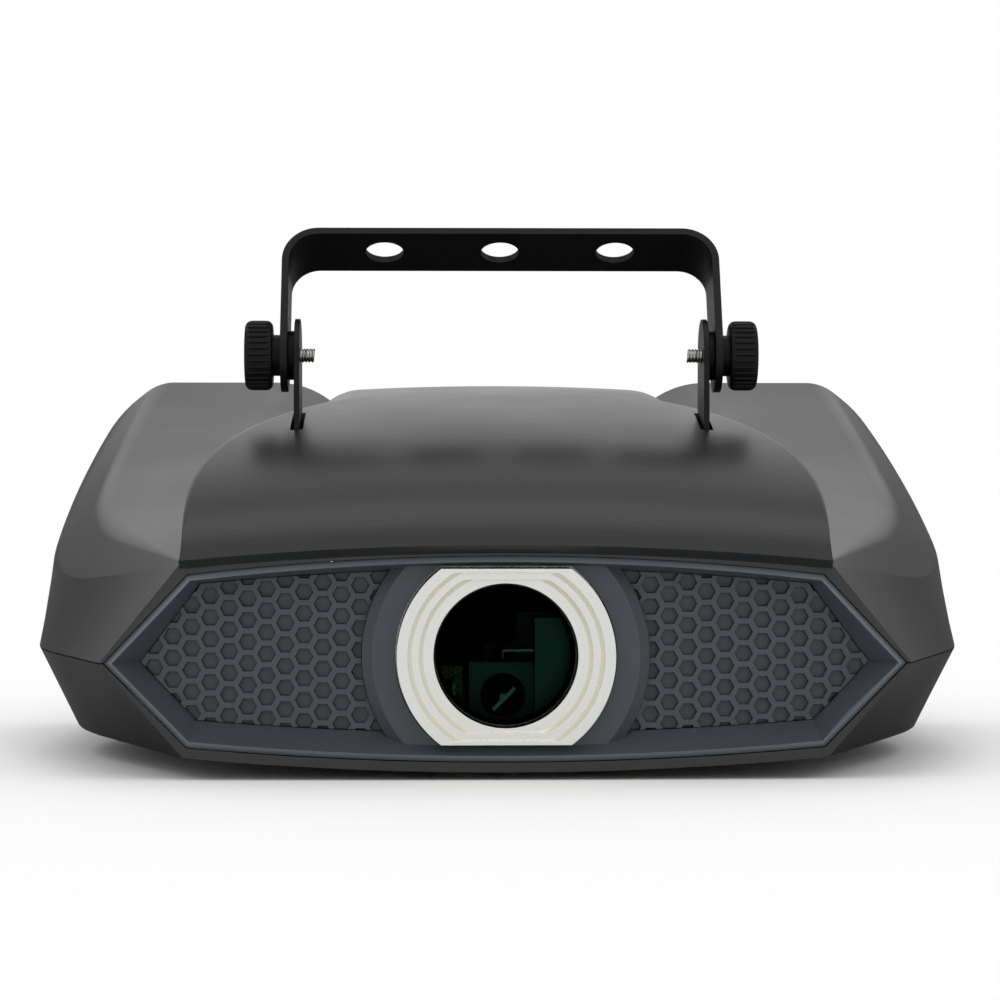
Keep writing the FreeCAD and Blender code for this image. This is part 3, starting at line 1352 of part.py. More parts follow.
# Signal sockets: square flange and round body. The input is a cup with pins, the output a face with holes.
for (socket_name, across), hollow in zip(SOCKETS, (True, False)):
    case = rod("socket_case", across, f"{PANEL_FACE} - socket_body", at_rise("socket_rise"), "socket_radius",
               "socket_body + flange_thickness", FACING_BACK)
    flange_block = outside("socket_flange", across, "socket_rise", "socket_width", "socket_height",
                           "flange_thickness")
    contacts = []
    for turn in CONTACT_TURNS:
        side_share = round(math.sin(math.radians(turn)), MATCH_DIGITS)
        up_share = round(-math.cos(math.radians(turn)), MATCH_DIGITS)
        contacts.append(rod("socket_contact", f"{across} + contact_ring * {side_share}",
                            f"{PANEL_FACE} - socket_body + socket_floor - lip",
                            at_rise(f"socket_rise + contact_ring * {up_share}"), "contact_radius",
                            "pin_length + lip" if hollow else "socket_body + overrun", FACING_BACK))
    form = fuse("socket_form", case, flange_block)
    if hollow:
        cup = rod("socket_cup", across, f"{PANEL_FACE} - socket_body + socket_floor", at_rise("socket_rise"),
                  "socket_bore", "socket_body + overrun", FACING_BACK)
        node(socket_name, fuse(socket_name, cut("socket_shell", form, cup), *contacts))
    else:
        node(socket_name, cut(socket_name, form, *contacts))

# Remote socket for the emergency stop: a square jack with an open mouth.
remote_case = through("remote_case", "remote_across", "socket_rise", "remote_width - 2 * wall",
                      "remote_height - 2 * wall", "remote_body")
remote_rim = outside("remote_rim", "remote_across", "socket_rise", "remote_width", "remote_height",
                     "flange_thickness")
remote_well = centred_block("remote_well", "remote_across", f"{PANEL_FACE} - remote_body + wall",
                            at_rise("socket_rise"), "remote_width - 2 * wall - 2 * lip",
                            "remote_body + flange_thickness", "remote_height - 2 * wall - 2 * lip")
node("remote_socket", cut("remote_socket", fuse("remote_form", remote_case, remote_rim), remote_well))

# Display and menu buttons, with their board behind the panel.
BUTTON_BACK = f"({PANEL_BACK} - button_skirt_thickness)"
BOARD_FACE = f"({BUTTON_BACK} - button_travel - running_fit)"
BOARD_Z = at_rise("(display_rise + button_rise) / 2")
window = through("display_lens", "display_across", "display_rise", "display_width", "display_height",
                 "panel_thickness")
window_rim = outside("display_rim_form", "display_across", "display_rise", "display_width + 2 * display_rim",
                     "display_height + 2 * display_rim", "display_rim")
node("display_window", fuse("display_window", window, window_rim))
display_slab = centred_block("display_slab", "display_across", f"{BOARD_FACE} - board_thickness", BOARD_Z,
                             "display_board_width", "board_thickness",
                             "display_rise - button_rise + display_height + 2 * button_radius")
spacers = [rod("display_spacer", f"display_across {sign} spacer_across", f"{BOARD_FACE} - lip", BOARD_Z,
               "spacer_radius", "button_skirt_thickness + button_travel + running_fit + lip", FACING_BACK)
           for sign in "-+"]
node("display_board", fuse("display_board", display_slab, *spacers))
button_outline = (
    (0, "-button_skirt_thickness"),
    ("button_radius + button_skirt", "-button_skirt_thickness"),
    ("button_radius + button_skirt", 0),
    ("button_radius", 0),
    ("button_radius", "panel_thickness + button_proud - button_edge"),
    ("button_radius - button_edge", "panel_thickness + button_proud"),
    (0, "panel_thickness + button_proud"),
)
for button_name, across in BUTTON_PLACES:
    button = turned(button_name, button_outline)
    node(button_name, place(button, across, PANEL_BACK, at_rise("button_rise"), FACING_BACK))

# Cooling fan: a square frame with spokes and a pin, a bladed rotor on the pin, and a guard outside.
FAN_Y = f"({PANEL_BACK} - fan_thickness)"
FAN_BACK = ("fan_across", FAN_Y, at_rise("fan_rise"))
fan_case = centred_block("fan_case", *FAN_BACK, "fan_side", "fan_thickness", "fan_side")
fan_bore = rod("fan_bore_cut", "fan_across", f"{FAN_Y} - overrun", at_rise("fan_rise"), "fan_bore",
               "fan_thickness + 2 * overrun", FACING_BACK)
spokes = [centred_block("fan_spoke", *FAN_BACK, "2 * fan_bore + lip", "spoke_thickness", "spoke_width"),
          centred_block("fan_spoke", *FAN_BACK, "spoke_width", "spoke_thickness", "2 * fan_bore + lip"),
          rod("fan_boss", *FAN_BACK, "hub_radius", "spoke_thickness", FACING_BACK),
          rod("fan_pin", *FAN_BACK, "fan_pin_radius", "spoke_thickness + hub_length - wall", FACING_BACK)]
node("fan_frame", fuse("fan_frame", cut("fan_ring", fan_case, fan_bore), *spokes))

hub_outline = (
    ("fan_pin_radius + running_fit", 0),
    ("hub_radius", 0),
    ("hub_radius", "hub_length"),
    (0, "hub_length"),
    (0, "hub_length - lip"),
    ("fan_pin_radius + running_fit", "hub_length - lip"),
)
hub = turned("fan_hub", hub_outline)
blades = []
blade_length = s.fan_bore - s.blade_gap - s.hub_radius + s.lip
chord = s.hub_length / math.sin(math.radians(s.blade_pitch_angle)) * BLADE_CHORD_SHARE
blade_corner = Vector(s.hub_radius - s.lip, -s.blade_thickness / 2, -chord / 2)
for index in range(BLADE_COUNT):
    blade = Part.makeBox(blade_length, s.blade_thickness, chord, blade_corner)
    blade.rotate(Vector(), X_AXIS, s.blade_pitch_angle)
    blade.translate(Z_AXIS * s.hub_length / 2)
    blade.rotate(Vector(), Z_AXIS, 360 * index / BLADE_COUNT)
    blades.append(solid(f"fan_blade_{index}", blade))
node("fan_rotor", place(fuse("fan_rotor", hub, *blades), "fan_across",
                        f"{FAN_Y} + spoke_thickness + hub_gap", at_rise("fan_rise"), FACING_BACK))

guard_rings = []
for index in range(GUARD_COUNT):
    outer = f"fan_bore + guard_wire - guard_pitch * {index}"
    guard_ring = ring(f"guard_ring_{index}", f"{outer} - guard_wire", outer, "guard_wire")
    guard_rings.append(place(guard_ring, "fan_across", PANEL_FACE, at_rise("fan_rise"), FACING_BACK))
BAR_LENGTH = "2 * fan_bore + guard_wire"
bars = [outside("guard_bar", "fan_across", "fan_rise", BAR_LENGTH, "guard_wire", "guard_wire"),
        outside("guard_bar", "fan_across", "fan_rise", "guard_wire", BAR_LENGTH, "guard_wire")]
node("fan_guard", fuse("fan_guard", *guard_rings, *bars))

# Safety eye: a steel staple through the panel for the safety wire.
eye_legs = [rod("eye_leg", across, f"{PANEL_BACK} - wall", at_rise("eye_rise"), "eye_wire",
                "wall + panel_thickness + eye_reach", FACING_BACK) for across in EYE_LEGS]
eye_bow = document.addObject("Part::Torus", "eye_bow")
bind(eye_bow, Radius1="eye_radius", Radius2="eye_wire")
eye_bow.Angle3 = 180
place(eye_bow, 0, f"{PANEL_FACE} + eye_reach", at_rise("eye_rise"))
node("safety_eye", fuse("safety_eye", *eye_legs, eye_bow))

# Every object has to have rebuilt, and every sub-part has to be a sound solid, before anything is written.
document.recompute()
for thing in document.Objects:
    if {"Invalid", "Error"} & set(thing.State):
        raise RuntimeError(f"{thing.Label} did not rebuild: {thing.State}")
for thing in nodes:
    if thing.Shape.isNull() or not thing.Shape.isValid() or not thing.Shape.Solids:
        raise RuntimeError(f"{thing.Label} is not a sound solid")

os.makedirs("parts", exist_ok=True)
for thing in nodes:
    thing.Shape.exportStep(f"parts/{thing.Label}.step")
    print(thing.Label, len(thing.Shape.Solids), round(thing.Shape.Volume, 1))
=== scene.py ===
# %% [markdown]
# # A laser show projector
# The projector is a moulded black housing with a slate grey front frame, two honeycomb inserts, a silver
# window bezel and a hanging bracket. The frame holds every piece at its real size and place, in metres.
# This script gives the pieces their finish: it welds and rounds them, adds the fine repeats such as the
# honeycomb, the ribs of the knobs and the threads, and then sets up the studio.

# %% Load the frame
import bmesh
import bpy
import json
import math
from mathutils import Matrix, Vector

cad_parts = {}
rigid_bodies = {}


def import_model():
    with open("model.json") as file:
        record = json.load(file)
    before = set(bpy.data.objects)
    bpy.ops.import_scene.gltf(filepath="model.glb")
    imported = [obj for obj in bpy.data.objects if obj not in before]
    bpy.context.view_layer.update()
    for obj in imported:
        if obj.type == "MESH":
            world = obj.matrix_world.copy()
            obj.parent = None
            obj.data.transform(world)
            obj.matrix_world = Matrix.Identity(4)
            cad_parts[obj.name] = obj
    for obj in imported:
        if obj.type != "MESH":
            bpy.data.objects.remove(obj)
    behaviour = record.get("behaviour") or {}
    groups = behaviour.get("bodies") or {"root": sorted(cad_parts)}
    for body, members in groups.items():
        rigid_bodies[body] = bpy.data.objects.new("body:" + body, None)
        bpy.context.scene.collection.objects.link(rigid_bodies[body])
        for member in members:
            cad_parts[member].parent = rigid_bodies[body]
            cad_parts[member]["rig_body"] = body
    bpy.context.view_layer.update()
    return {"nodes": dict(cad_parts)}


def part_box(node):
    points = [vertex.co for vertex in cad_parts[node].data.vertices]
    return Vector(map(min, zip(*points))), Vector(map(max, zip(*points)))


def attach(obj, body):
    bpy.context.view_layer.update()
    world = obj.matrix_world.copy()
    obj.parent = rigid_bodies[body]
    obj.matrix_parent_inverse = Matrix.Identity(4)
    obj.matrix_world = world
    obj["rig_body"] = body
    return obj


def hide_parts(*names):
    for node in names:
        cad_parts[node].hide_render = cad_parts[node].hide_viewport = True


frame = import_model()
MM = 0.001
print("pieces in the frame:", len(frame["nodes"]))

# %% [markdown]
# ## Small tools for materials
# Colours are written as the sRGB hex values that a paint chart would give, and Blender's shaders work in
# linear light, so one function turns the first into the second. Another function adds a node, sets it up
# and links it, so that each material below reads as a list of what it is made of. Most nodes give what is
# wanted at their first output, so a node can be handed on as it is, and an input that takes several gets a
# list. A noise mostly lies between two limits, and that stretch is spread over a material's range of gloss.

# %% Colours and nodes
NOISE_LOW, NOISE_HIGH = 0.3, 0.7


def linear(hex_colour):
    """Linear RGBA of an sRGB hex colour."""
    channels = [int(hex_colour[start:start + 2], 16) / 255 for start in (0, 2, 4)]
    bright = [c / 12.92 if c <= 0.04045 else ((c + 0.055) / 1.055) ** 2.4 for c in channels]
    return (*bright, 1.0)


def add(tree, kind, inputs=None, **settings):
    """Add a node, set its properties, then set or link its inputs: a node links by its first output."""
    node = tree.nodes.new(kind)
    for name, value in settings.items():
        setattr(node, name, value)
    for key, value in (inputs or {}).items():
        for source in value if isinstance(value, list) else [value]:
            if isinstance(source, bpy.types.Node):
                source = source.outputs[0]
            if isinstance(source, bpy.types.NodeSocket):
                tree.links.new(source, node.inputs[key])
            else:
                node.inputs[key].default_value = source
    return node


def per_mm(size):
    """Scale of a texture whose pattern repeats after so many millimetres."""
    return 1 / (size * MM)


def new_material(name):
    """Material with an empty tree, the tree, and the coordinates of the object that wears it."""
    material = bpy.data.materials.new(name)
    material.use_nodes = True
    tree = material.node_tree
    tree.nodes.clear()
    return material, tree, add(tree, "ShaderNodeTexCoord").outputs["Object"]


def varied(tree, tone, gloss, dark, light, roughness, reach):
    """Shader inputs from two noises: colour between two hex colours, and roughness round a middle."""
    colour = add(tree, "ShaderNodeMix", {0: tone, 6: linear(dark), 7: linear(light)}, data_type="RGBA")
    rough = add(tree, "ShaderNodeMapRange", {"Value": gloss, "From Min": NOISE_LOW, "From Max": NOISE_HIGH,
                                             "To Min": roughness - reach, "To Max": roughness + reach})
    return {"Base_Color": colour.outputs[2], "Roughness": rough}


def surfaced(material, **inputs):
    """End a material's tree with one surface shader, whose inputs are set or linked by name."""
    named = {name.replace("_", " "): value for name, value in inputs.items()}
    shader = add(material.node_tree, "ShaderNodeBsdfPrincipled", named)
    add(material.node_tree, "ShaderNodeOutputMaterial", {"Surface": shader})
    return material


print("linear grey of 808080:", round(linear("808080")[0], 3))

# %% [markdown]
# ## Moulded plastics
# Most of the outside is moulded ABS. The steel mould is spark-eroded, which leaves a very fine grain and an
# uneven satin gloss. A noise at the grain's size drives the bump, and a slow noise varies colour and gloss,
# as plastic does over the length of a large moulding. The real grain is about 0.2 mm, which is too fine to
# show in the render, so it is drawn coarser. The slate parts have a duller skin than the black shell, so
# their own colour shows more than what they mirror.

# %% Plastics
FLOW_MM = 40


def moulded_plastic(name, dark, light, roughness, grain_mm, grain_depth_mm, **values):
    material, tree, coordinates = new_material(name)
    grain = add(tree, "ShaderNodeTexNoise", {"Vector": coordinates, "Scale": per_mm(grain_mm), "Detail": 3.0})
    flow = add(tree, "ShaderNodeTexNoise", {"Vector": coordinates, "Scale": per_mm(FLOW_MM), "Detail": 2.0})
    bump = add(tree, "ShaderNodeBump", {"Height": grain, "Distance": grain_depth_mm * MM})
    return surfaced(material, **varied(tree, flow, flow, dark, light, roughness, 0.03), Normal=bump, **values)


SHELL_ABS = moulded_plastic("satin_black_abs", "131314", "19191a", 0.34, 0.7, 0.015)
SLATE_ABS = moulded_plastic("slate_grey_abs", "3a3f44", "42474c", 0.45, 0.6, 0.02, Specular_IOR_Level=0.36)
# The slate edge is glossier, and its lighter colour is a painted highlight where the rim catches the light.
SLATE_EDGE_HIGHLIGHT = moulded_plastic("glossy_slate_edge_painted_highlight", "565d62", "5e656a", 0.32, 0.6, 0.01, Specular_IOR_Level=0.45)
BLACK_NYLON = moulded_plastic("moulded_black_nylon", "0a0a0b", "0f0f10", 0.46, 0.5, 0.02, Specular_IOR_Level=0.14)
GLOSS_NYLON = moulded_plastic("gloss_black_nylon", "0c0c0d", "111112", 0.16, 0.9, 0.004)
BUTTON_ABS = moulded_plastic("grey_button_abs", "3a3b3d", "434446", 0.4, 0.5, 0.02)
FAN_PBT = moulded_plastic("black_fan_pbt", "121213", "19191a", 0.45, 0.5, 0.02)
RUBBER = moulded_plastic("soft_black_rubber", "131313", "1b1b1b", 0.72, 0.8, 0.05)
DISPLAY_FILTER = moulded_plastic("dark_red_acrylic", "1c0406", "240608", 0.08, 4, 0.002)
print("plastics:", SHELL_ABS.name, SLATE_ABS.name, BLACK_NYLON.name)

# %% [markdown]
# ## Powder coat
# The bracket, its tabs and the rear panel are sheet steel with a baked powder coat. Powder melts into small
# rounded bumps, about half a millimetre apart, like the skin of an orange. A smooth noise gives the bumps,
# drawn nearly twice as coarse so that they show. A matt powder mirrors little, so the bracket stays near
# black in a white studio.

# %% Powder coat
PEEL_DEPTH = 0.04 * MM


def powder_coat(name, dark, light, roughness, peel_mm, **values):
    material, tree, coordinates = new_material(name)
    peel = add(tree, "ShaderNodeTexNoise", {"Vector": coordinates, "Scale": per_mm(peel_mm), "Detail": 1.0})
    bump = add(tree, "ShaderNodeBump", {"Height": peel, "Distance": PEEL_DEPTH, "Strength": 0.7})
    return surfaced(material, **varied(tree, peel, peel, dark, light, roughness, 0.05), Normal=bump, **values)


BRACKET_COAT = powder_coat("black_powder_coat", "0a0a0b", "101011", 0.42, 0.9, Specular_IOR_Level=0.16)
PANEL_COAT = powder_coat("black_panel_coat", "141415", "1b1b1d", 0.5, 0.9)
print("powder coats:", BRACKET_COAT.name, PANEL_COAT.name)

# %% [markdown]
# ## Metals
# Plated steel, milled aluminium and brass are the same shader with full metallic. What sets them apart is
# their colour and the marks of making: milling and drawing leave fine parallel lines, which a noise that is
# stretched along one axis gives. The lines vary the gloss and make a slight bump. They are drawn coarser than
# a cutter leaves them, so that they show.

# %% Metals
LINE_DEPTH = 0.01 * MM


def lined_metal(name, dark, light, roughness, line_mm, stretch=(1, 1, 12)):
    material, tree, coordinates = new_material(name)
    turned = add(tree, "ShaderNodeMapping", {"Vector": coordinates, "Scale": tuple(1 / s for s in stretch)})
    lines = add(tree, "ShaderNodeTexNoise", {"Vector": turned, "Scale": per_mm(line_mm), "Detail": 3.0})
    bump = add(tree, "ShaderNodeBump", {"Height": lines, "Distance": LINE_DEPTH})
    return surfaced(material, **varied(tree, lines, lines, dark, light, roughness, 0.06), Normal=bump, Metallic=1.0)


ZINC_STEEL = lined_metal("zinc_plated_steel", "9a9a96", "b6b6b1", 0.26, 0.5, (12, 1, 1))
OXIDE_STEEL = lined_metal("black_oxide_steel", "1b1b1c", "28282a", 0.38, 0.5)
NICKEL = lined_metal("nickel_plated_zinc", "b3b0a8", "c9c6be", 0.18, 0.6)
MILLED_ALUMINIUM = lined_metal("milled_aluminium", "8e8f91", "a6a7a9", 0.4, 0.5, (12, 1, 1))
BLACK_ANODISED = lined_metal("black_anodised_aluminium", "1a1a1b", "242426", 0.4, 0.5)
SHEET_STEEL = lined_metal("plated_sheet_steel", "9fa09f", "b4b5b4", 0.32, 0.6)
BRASS = lined_metal("turned_brass", "b08d4a", "c7a663", 0.28, 0.5, (1, 12, 1))
MIRROR = lined_metal("front_surface_mirror", "dcdfe2", "e4e7ea", 0.05, 8)
print("metals:", ZINC_STEEL.name, NICKEL.name, BRASS.name)

# %% [markdown]
# ## Circuit boards
# A board is green lacquer over glass fibre. The lacquer lets the copper tracks show as a lighter green, in
# long thin shapes, which a cell pattern with hard edges suggests.

# %% Circuit board
TRACK_SHARE = 0.08


def circuit_board(name, lacquer, track, track_mm):
    material, tree, coordinates = new_material(name)
    cells = add(tree, "ShaderNodeTexVoronoi", {"Vector": coordinates, "Scale": per_mm(track_mm)},
                feature="DISTANCE_TO_EDGE")
    edge = add(tree, "ShaderNodeMath", {0: cells, 1: TRACK_SHARE}, operation="LESS_THAN")
    colour = add(tree, "ShaderNodeMix", {0: edge, 6: linear(lacquer), 7: linear(track)}, data_type="RGBA")
    return surfaced(material, Base_Color=colour.outputs[2], Roughness=0.3)


BOARD = circuit_board("green_circuit_board", "0c3a1e", "1c5a33", 2.5)
print("board:", BOARD.name)

# %% [markdown]
# ## Silver bezel
# The bezel is a bright plated casting, turned on a lathe and then blasted, so its flat rings have a fine
# sparkle and carry faint rings round the beam axis. The rings come from a noise that reads only the distance
# from that axis, the sparkle from a fine noise, drawn coarser than blasting leaves it so that it shows. The
# step walls between the rings get a second material that is lighter and warmer than the flat rings; the
# lighter colour is a painted highlight along the steps.

# %% Bezel metal
BEZEL_LOW, BEZEL_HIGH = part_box("bezel_ring")
AXIS_HEIGHT = (BEZEL_LOW.z + BEZEL_HIGH.z) / 2
RING_DEPTH, SPARKLE_DEPTH = 0.004 * MM, 0.02 * MM


def turned_silver(name, dark, light, roughness, ring_mm, sparkle_mm):
    material, tree, coordinates = new_material(name)
    centred = add(tree, "ShaderNodeMapping", {"Vector": coordinates, "Location": (0, 0, -AXIS_HEIGHT)})
    flat = add(tree, "ShaderNodeVectorMath", {0: centred, 1: (1, 0, 1)}, operation="MULTIPLY")
    radius = add(tree, "ShaderNodeVectorMath", {0: flat}, operation="LENGTH").outputs["Value"]
    rings = add(tree, "ShaderNodeTexNoise", {"W": radius, "Scale": per_mm(ring_mm), "Detail": 3.0},
                noise_dimensions="1D")
    sparkle = add(tree, "ShaderNodeTexNoise", {"Vector": coordinates, "Scale": per_mm(sparkle_mm), "Detail": 2.0})
    bump = add(tree, "ShaderNodeBump", {"Height": rings, "Distance": RING_DEPTH})
    grain = add(tree, "ShaderNodeBump", {"Height": sparkle, "Distance": SPARKLE_DEPTH, "Normal": bump})
    looks = varied(tree, sparkle, rings, dark, light, roughness, 0.05)
    return surfaced(material, **looks, Normal=grain, Metallic=1.0)


BEZEL_SILVER = turned_silver("bright_plated_bezel", "d0d0cd", "dcdcd9", 0.26, 0.35, 0.5)
# The step material is a lighter, warmer copy of the silver: its lightness is a painted highlight along the steps.
BEZEL_STEP_HIGHLIGHT = turned_silver("warm_bezel_step_painted_highlight", "efecd6", "f6f3e2", 0.24, 0.35, 0.5)
print("bezel metals:", BEZEL_SILVER.name, BEZEL_STEP_HIGHLIGHT.name)

# %% [markdown]
# ## Window glass
# The exit window is coated against reflections, so it mirrors next to nothing, which a low index of
# refraction gives here. It looks nearly black with a green cast because the box behind it is dark. It is real
# glass, tinted in its own body, and the scanner behind it can just be made out. A slow noise makes the faint
# smears that any glass carries.

# %% Window glass
SMEAR_MM, SMEAR_ROUGHNESS, COATED_IOR = 9, 0.04, 1.02


def coated_glass(name, tint):
    material, tree, coordinates = new_material(name)
    smear = add(tree, "ShaderNodeTexNoise", {"Vector": coordinates, "Scale": per_mm(SMEAR_MM), "Detail": 2.0})
    haze = add(tree, "ShaderNodeMapRange", {"Value": smear, "From Min": NOISE_LOW, "From Max": NOISE_HIGH,
                                            "To Max": SMEAR_ROUGHNESS})
    return surfaced(material, Base_Color=linear(tint), Transmission_Weight=1.0, IOR=COATED_IOR, Roughness=haze)


WINDOW_GLASS = coated_glass("green_coated_glass", "5c7c72")
print("glass:", WINDOW_GLASS.name)

# %% [markdown]
# ## Every piece of the frame gets its finish
# A table pairs each piece with its material. The pieces that show get more: they are welded from loose
# triangles into one surface, and their edges are rounded, because no moulded or bent edge is perfectly
# sharp and the rounding is what catches the light.

# %% Table of finishes
FINISHES = {
    SHELL_ABS: ("top_shell", "bottom_shell"),
    SLATE_ABS: ("front_frame", "honeycomb_left", "honeycomb_right"),
    BEZEL_SILVER: ("bezel_ring",),
    WINDOW_GLASS: ("window_glass",),
    RUBBER: ("rubber_feet", "window_gasket"),
    BRACKET_COAT: ("bracket", "tab_plate_left", "tab_plate_right"),
    PANEL_COAT: ("rear_panel",),
    BLACK_NYLON: ("friction_washer_left", "friction_washer_right", "clamp_knob_left", "clamp_knob_right",
                  "mains_inlet", "switch_body", "signal_in", "signal_out", "remote_socket"),
    GLOSS_NYLON: ("power_rocker",),
    ZINC_STEEL: ("clamp_stud_left", "clamp_stud_right", "safety_eye"),
    OXIDE_STEEL: ("case_screws", "panel_screws", "fan_guard"),
    NICKEL: ("key_switch_body", "key_barrel"),
    DISPLAY_FILTER: ("display_window",),
    BUTTON_ABS: ("menu_button", "down_button", "up_button", "enter_button"),
    FAN_PBT: ("fan_frame", "fan_rotor"),
    MILLED_ALUMINIUM: ("optical_base", "scanner_block"),
    BLACK_ANODISED: ("window_retainer", "mirror_mounts", "heat_sink", "line_motor", "frame_motor"),
    BOARD: ("driver_board", "control_board", "display_board"),
    SHEET_STEEL: ("power_supply",),
    BRASS: ("laser_blue", "laser_green", "laser_red"),
    MIRROR: ("blue_combiner", "green_combiner", "turning_mirror", "line_mirror", "frame_mirror"),
}
MATERIAL_OF = {node: material for material, members in FINISHES.items() for node in members}
for node, piece in frame["nodes"].items():
    piece.data.materials.clear()
    piece.data.materials.append(MATERIAL_OF[node])
print("finished nodes:", len(MATERIAL_OF))

# %% [markdown]
# ## Welding and rounding
# A node's mesh is loose triangles. A copy of it is merged, flat faces are joined into single polygons, and a
# bevel rounds each edge that turns more sharply than a limit. The copy then stands for the node.

# %% Weld and round
WELD = 0.002 * MM
JOIN_DEGREES, SHARP_DEGREES = 0.5, 30
collection = bpy.context.scene.collection


def stand_for(piece, *nodes):
    """Let a finished piece ride with the body of the nodes that it stands for, in place of them, and report it."""
    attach(piece, frame["nodes"][nodes[0]]["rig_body"])
    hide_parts(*nodes)
    print(piece.name, len(piece.data.polygons), "faces")


def new_piece(name, mesh, *materials):
    piece = bpy.data.objects.new(name, mesh)
    collection.objects.link(piece)
    for material in materials:
        mesh.materials.append(material)
    return piece


def merged(mesh):
    """Form of a mesh with the points merged that lie on each other."""
    form = bmesh.new()
    form.from_mesh(mesh)
    bmesh.ops.remove_doubles(form, verts=form.verts, dist=WELD)
    return form


def as_mesh(form, name):
    """New mesh of a form, which is used up."""
    mesh = bpy.data.meshes.new(name)
    form.to_mesh(mesh)
    form.free()
    return mesh


def welded(node, join_degrees):
    """Copy of a node's mesh with its points merged and its flat faces joined."""
    form = merged(frame["nodes"][node].data)
    if join_degrees:
        bmesh.ops.dissolve_limit(form, angle_limit=math.radians(join_degrees), verts=form.verts, edges=form.edges)
    mesh = as_mesh(form, node)
    stale = mesh.attributes.get("custom_normal")
    if stale:
        mesh.attributes.remove(stale)
    return mesh


def settle(piece):
    """Turn a piece's modifiers into plain mesh."""
    depsgraph = bpy.context.evaluated_depsgraph_get()
    mesh = bpy.data.meshes.new_from_object(piece.evaluated_get(depsgraph), depsgraph=depsgraph)
    piece.modifiers.clear()
    piece.data = mesh


def smoothed(piece, sharp_degrees=35):
    """Smooth shading, but for the edges that turn more sharply than a limit."""
    piece.data.shade_smooth()
    piece.data.set_sharp_from_angle(angle=math.radians(sharp_degrees))
    return piece


def rounded(node, edge_mm, join_degrees=JOIN_DEGREES):
    """Piece that stands for a node, with smooth faces and its sharp edges rounded."""
    piece = smoothed(new_piece(f"finished_{node}", welded(node, join_degrees), MATERIAL_OF[node]), SHARP_DEGREES)
    if edge_mm:
        bevel = piece.modifiers.new("rounding", "BEVEL")
        bevel.width = edge_mm * MM
        bevel.segments = 2
        bevel.limit_method = "ANGLE"
        bevel.angle_limit = math.radians(SHARP_DEGREES)
        bevel.harden_normals = True
        settle(piece)
    stand_for(piece, node)
    return piece


def cleaned(piece):
    """Merge the points that a cut leaves side by side, and drop faces without area and stray faces."""
    form = merged(piece.data)
    bmesh.ops.dissolve_degenerate(form, edges=form.edges, dist=WELD)
    stray = [face for face in form.faces if all(len(vert.link_edges) == 2 for vert in face.verts)]
    bmesh.ops.delete(form, geom=stray, context="FACES")
    form.to_mesh(piece.data)
    form.free()
    return piece


def repaint(piece, material, wanted):
    """Give a second material to the faces that a test picks out."""
    piece.data.materials.append(material)
    index = len(piece.data.materials) - 1
    faces = [face for face in piece.data.polygons if wanted(face, piece.data)]
    for face in faces:
        face.material_index = index
    return len(faces)


ROUNDINGS = {0.35: ("bracket",),
             0.25: ("tab_plate_left", "tab_plate_right", "friction_washer_left", "friction_washer_right"),
             0.12: ("bezel_ring",)}
finished = {}
for edge_mm, members in ROUNDINGS.items():
    for node in members:
        finished[node] = rounded(node, edge_mm)
finished["front_frame"] = rounded("front_frame", 0, join_degrees=0)

# %% [markdown]
# ## Painted highlights on the frame edge and the bezel steps
# The outer edge of the slate frame is glossier than its textured walls and painted lighter: the lighter colour is
# a painted highlight where the rim catches the light. The bezel's step walls are painted lighter and warmer than
# its flat rings, and their lightness is a painted highlight along the steps. Both are one moulding on the real
# object, so the pieces stay whole and only some faces get the second material: those that lie within the depth of the
# rim, and those that do not face forward.

# %% Frame edge and bezel steps
FRAME_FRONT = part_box("front_frame")[0].y
RIM_DEPTH = 1.15 * MM
BEZEL_MOUTH = 27 * MM
STEP_DEPTH = BEZEL_LOW.y + 7.6 * MM
FACING_SHARE = 0.8


def on_rim(face, mesh):
    return max(mesh.vertices[index].co.y for index in face.vertices) < FRAME_FRONT + RIM_DEPTH


def on_step(face, mesh):
    radius = math.hypot(face.center.x, face.center.z - AXIS_HEIGHT)
    return abs(face.normal.y) < FACING_SHARE and radius < BEZEL_MOUTH and face.center.y < STEP_DEPTH


# The rim faces get the lighter slate, a painted highlight along the frame's edge.
print("rim faces:", repaint(finished["front_frame"], SLATE_EDGE_HIGHLIGHT, on_rim))
# The step faces get the lighter, warmer silver, a painted highlight along the bezel's steps.
print("step faces:", repaint(finished["bezel_ring"], BEZEL_STEP_HIGHLIGHT, on_step))

# %% [markdown]
# ## Housing
# The housing is moulded in two shells that meet at the waist. It has no straight side: each cross section is
# a six-cornered outline, and its corners run along gentle curves from the front to the widest place and on to
# the rear. A subdivided box would round the crisp edges away, so the outline is worked out at many depths
# and the sections are skinned with quads, as a ship is planked over its ribs. The hood over the window is a
# second skin, with its brow in front. An outline is drawn for the right half and mirrored.

# %% Outlines
HOUSING_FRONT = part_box("bottom_shell")[0].y
BODY_DEPTH, WAIST_DEPTH, WAIST_BEND, SIDE_BULGE, FLOOR_RISE = 188.0, 78.02, 30.0, 1.0, -29.5
FRONT_CORNERS = ((82.3, -25.7), (103.7, -1.6), (83.6, 23.1), (82.4, 24.3), (77.8, 24.7), (41, 26.5))
WIDEST_CORNERS = ((121.8, -23.7), (131.5, -1.6), (126.6, 16), (113.9, 34.3), (79, 45), (67, 43))
REAR_CORNERS = ((110, -24), (126, -1.6), (127, 58.8), (105, 76), (58, 76), (48, 68))
SHOULDER_ROUNDS, CHEEK_ROUNDS, LOBE_ROUNDS, LEAST_ROUND = (0.3, 0.3, 40), (0.6, 14, 14), (0.6, 20, 28), 0.3
HOOD_TURN, HOOD_REACH, HOOD_RISE = 94.94, 168.08, 44.5
HOOD_CROWN, HOOD_POWER, HOOD_HALF, HOOD_NARROWING = 4.0, 1.8, 82.4, 37.4
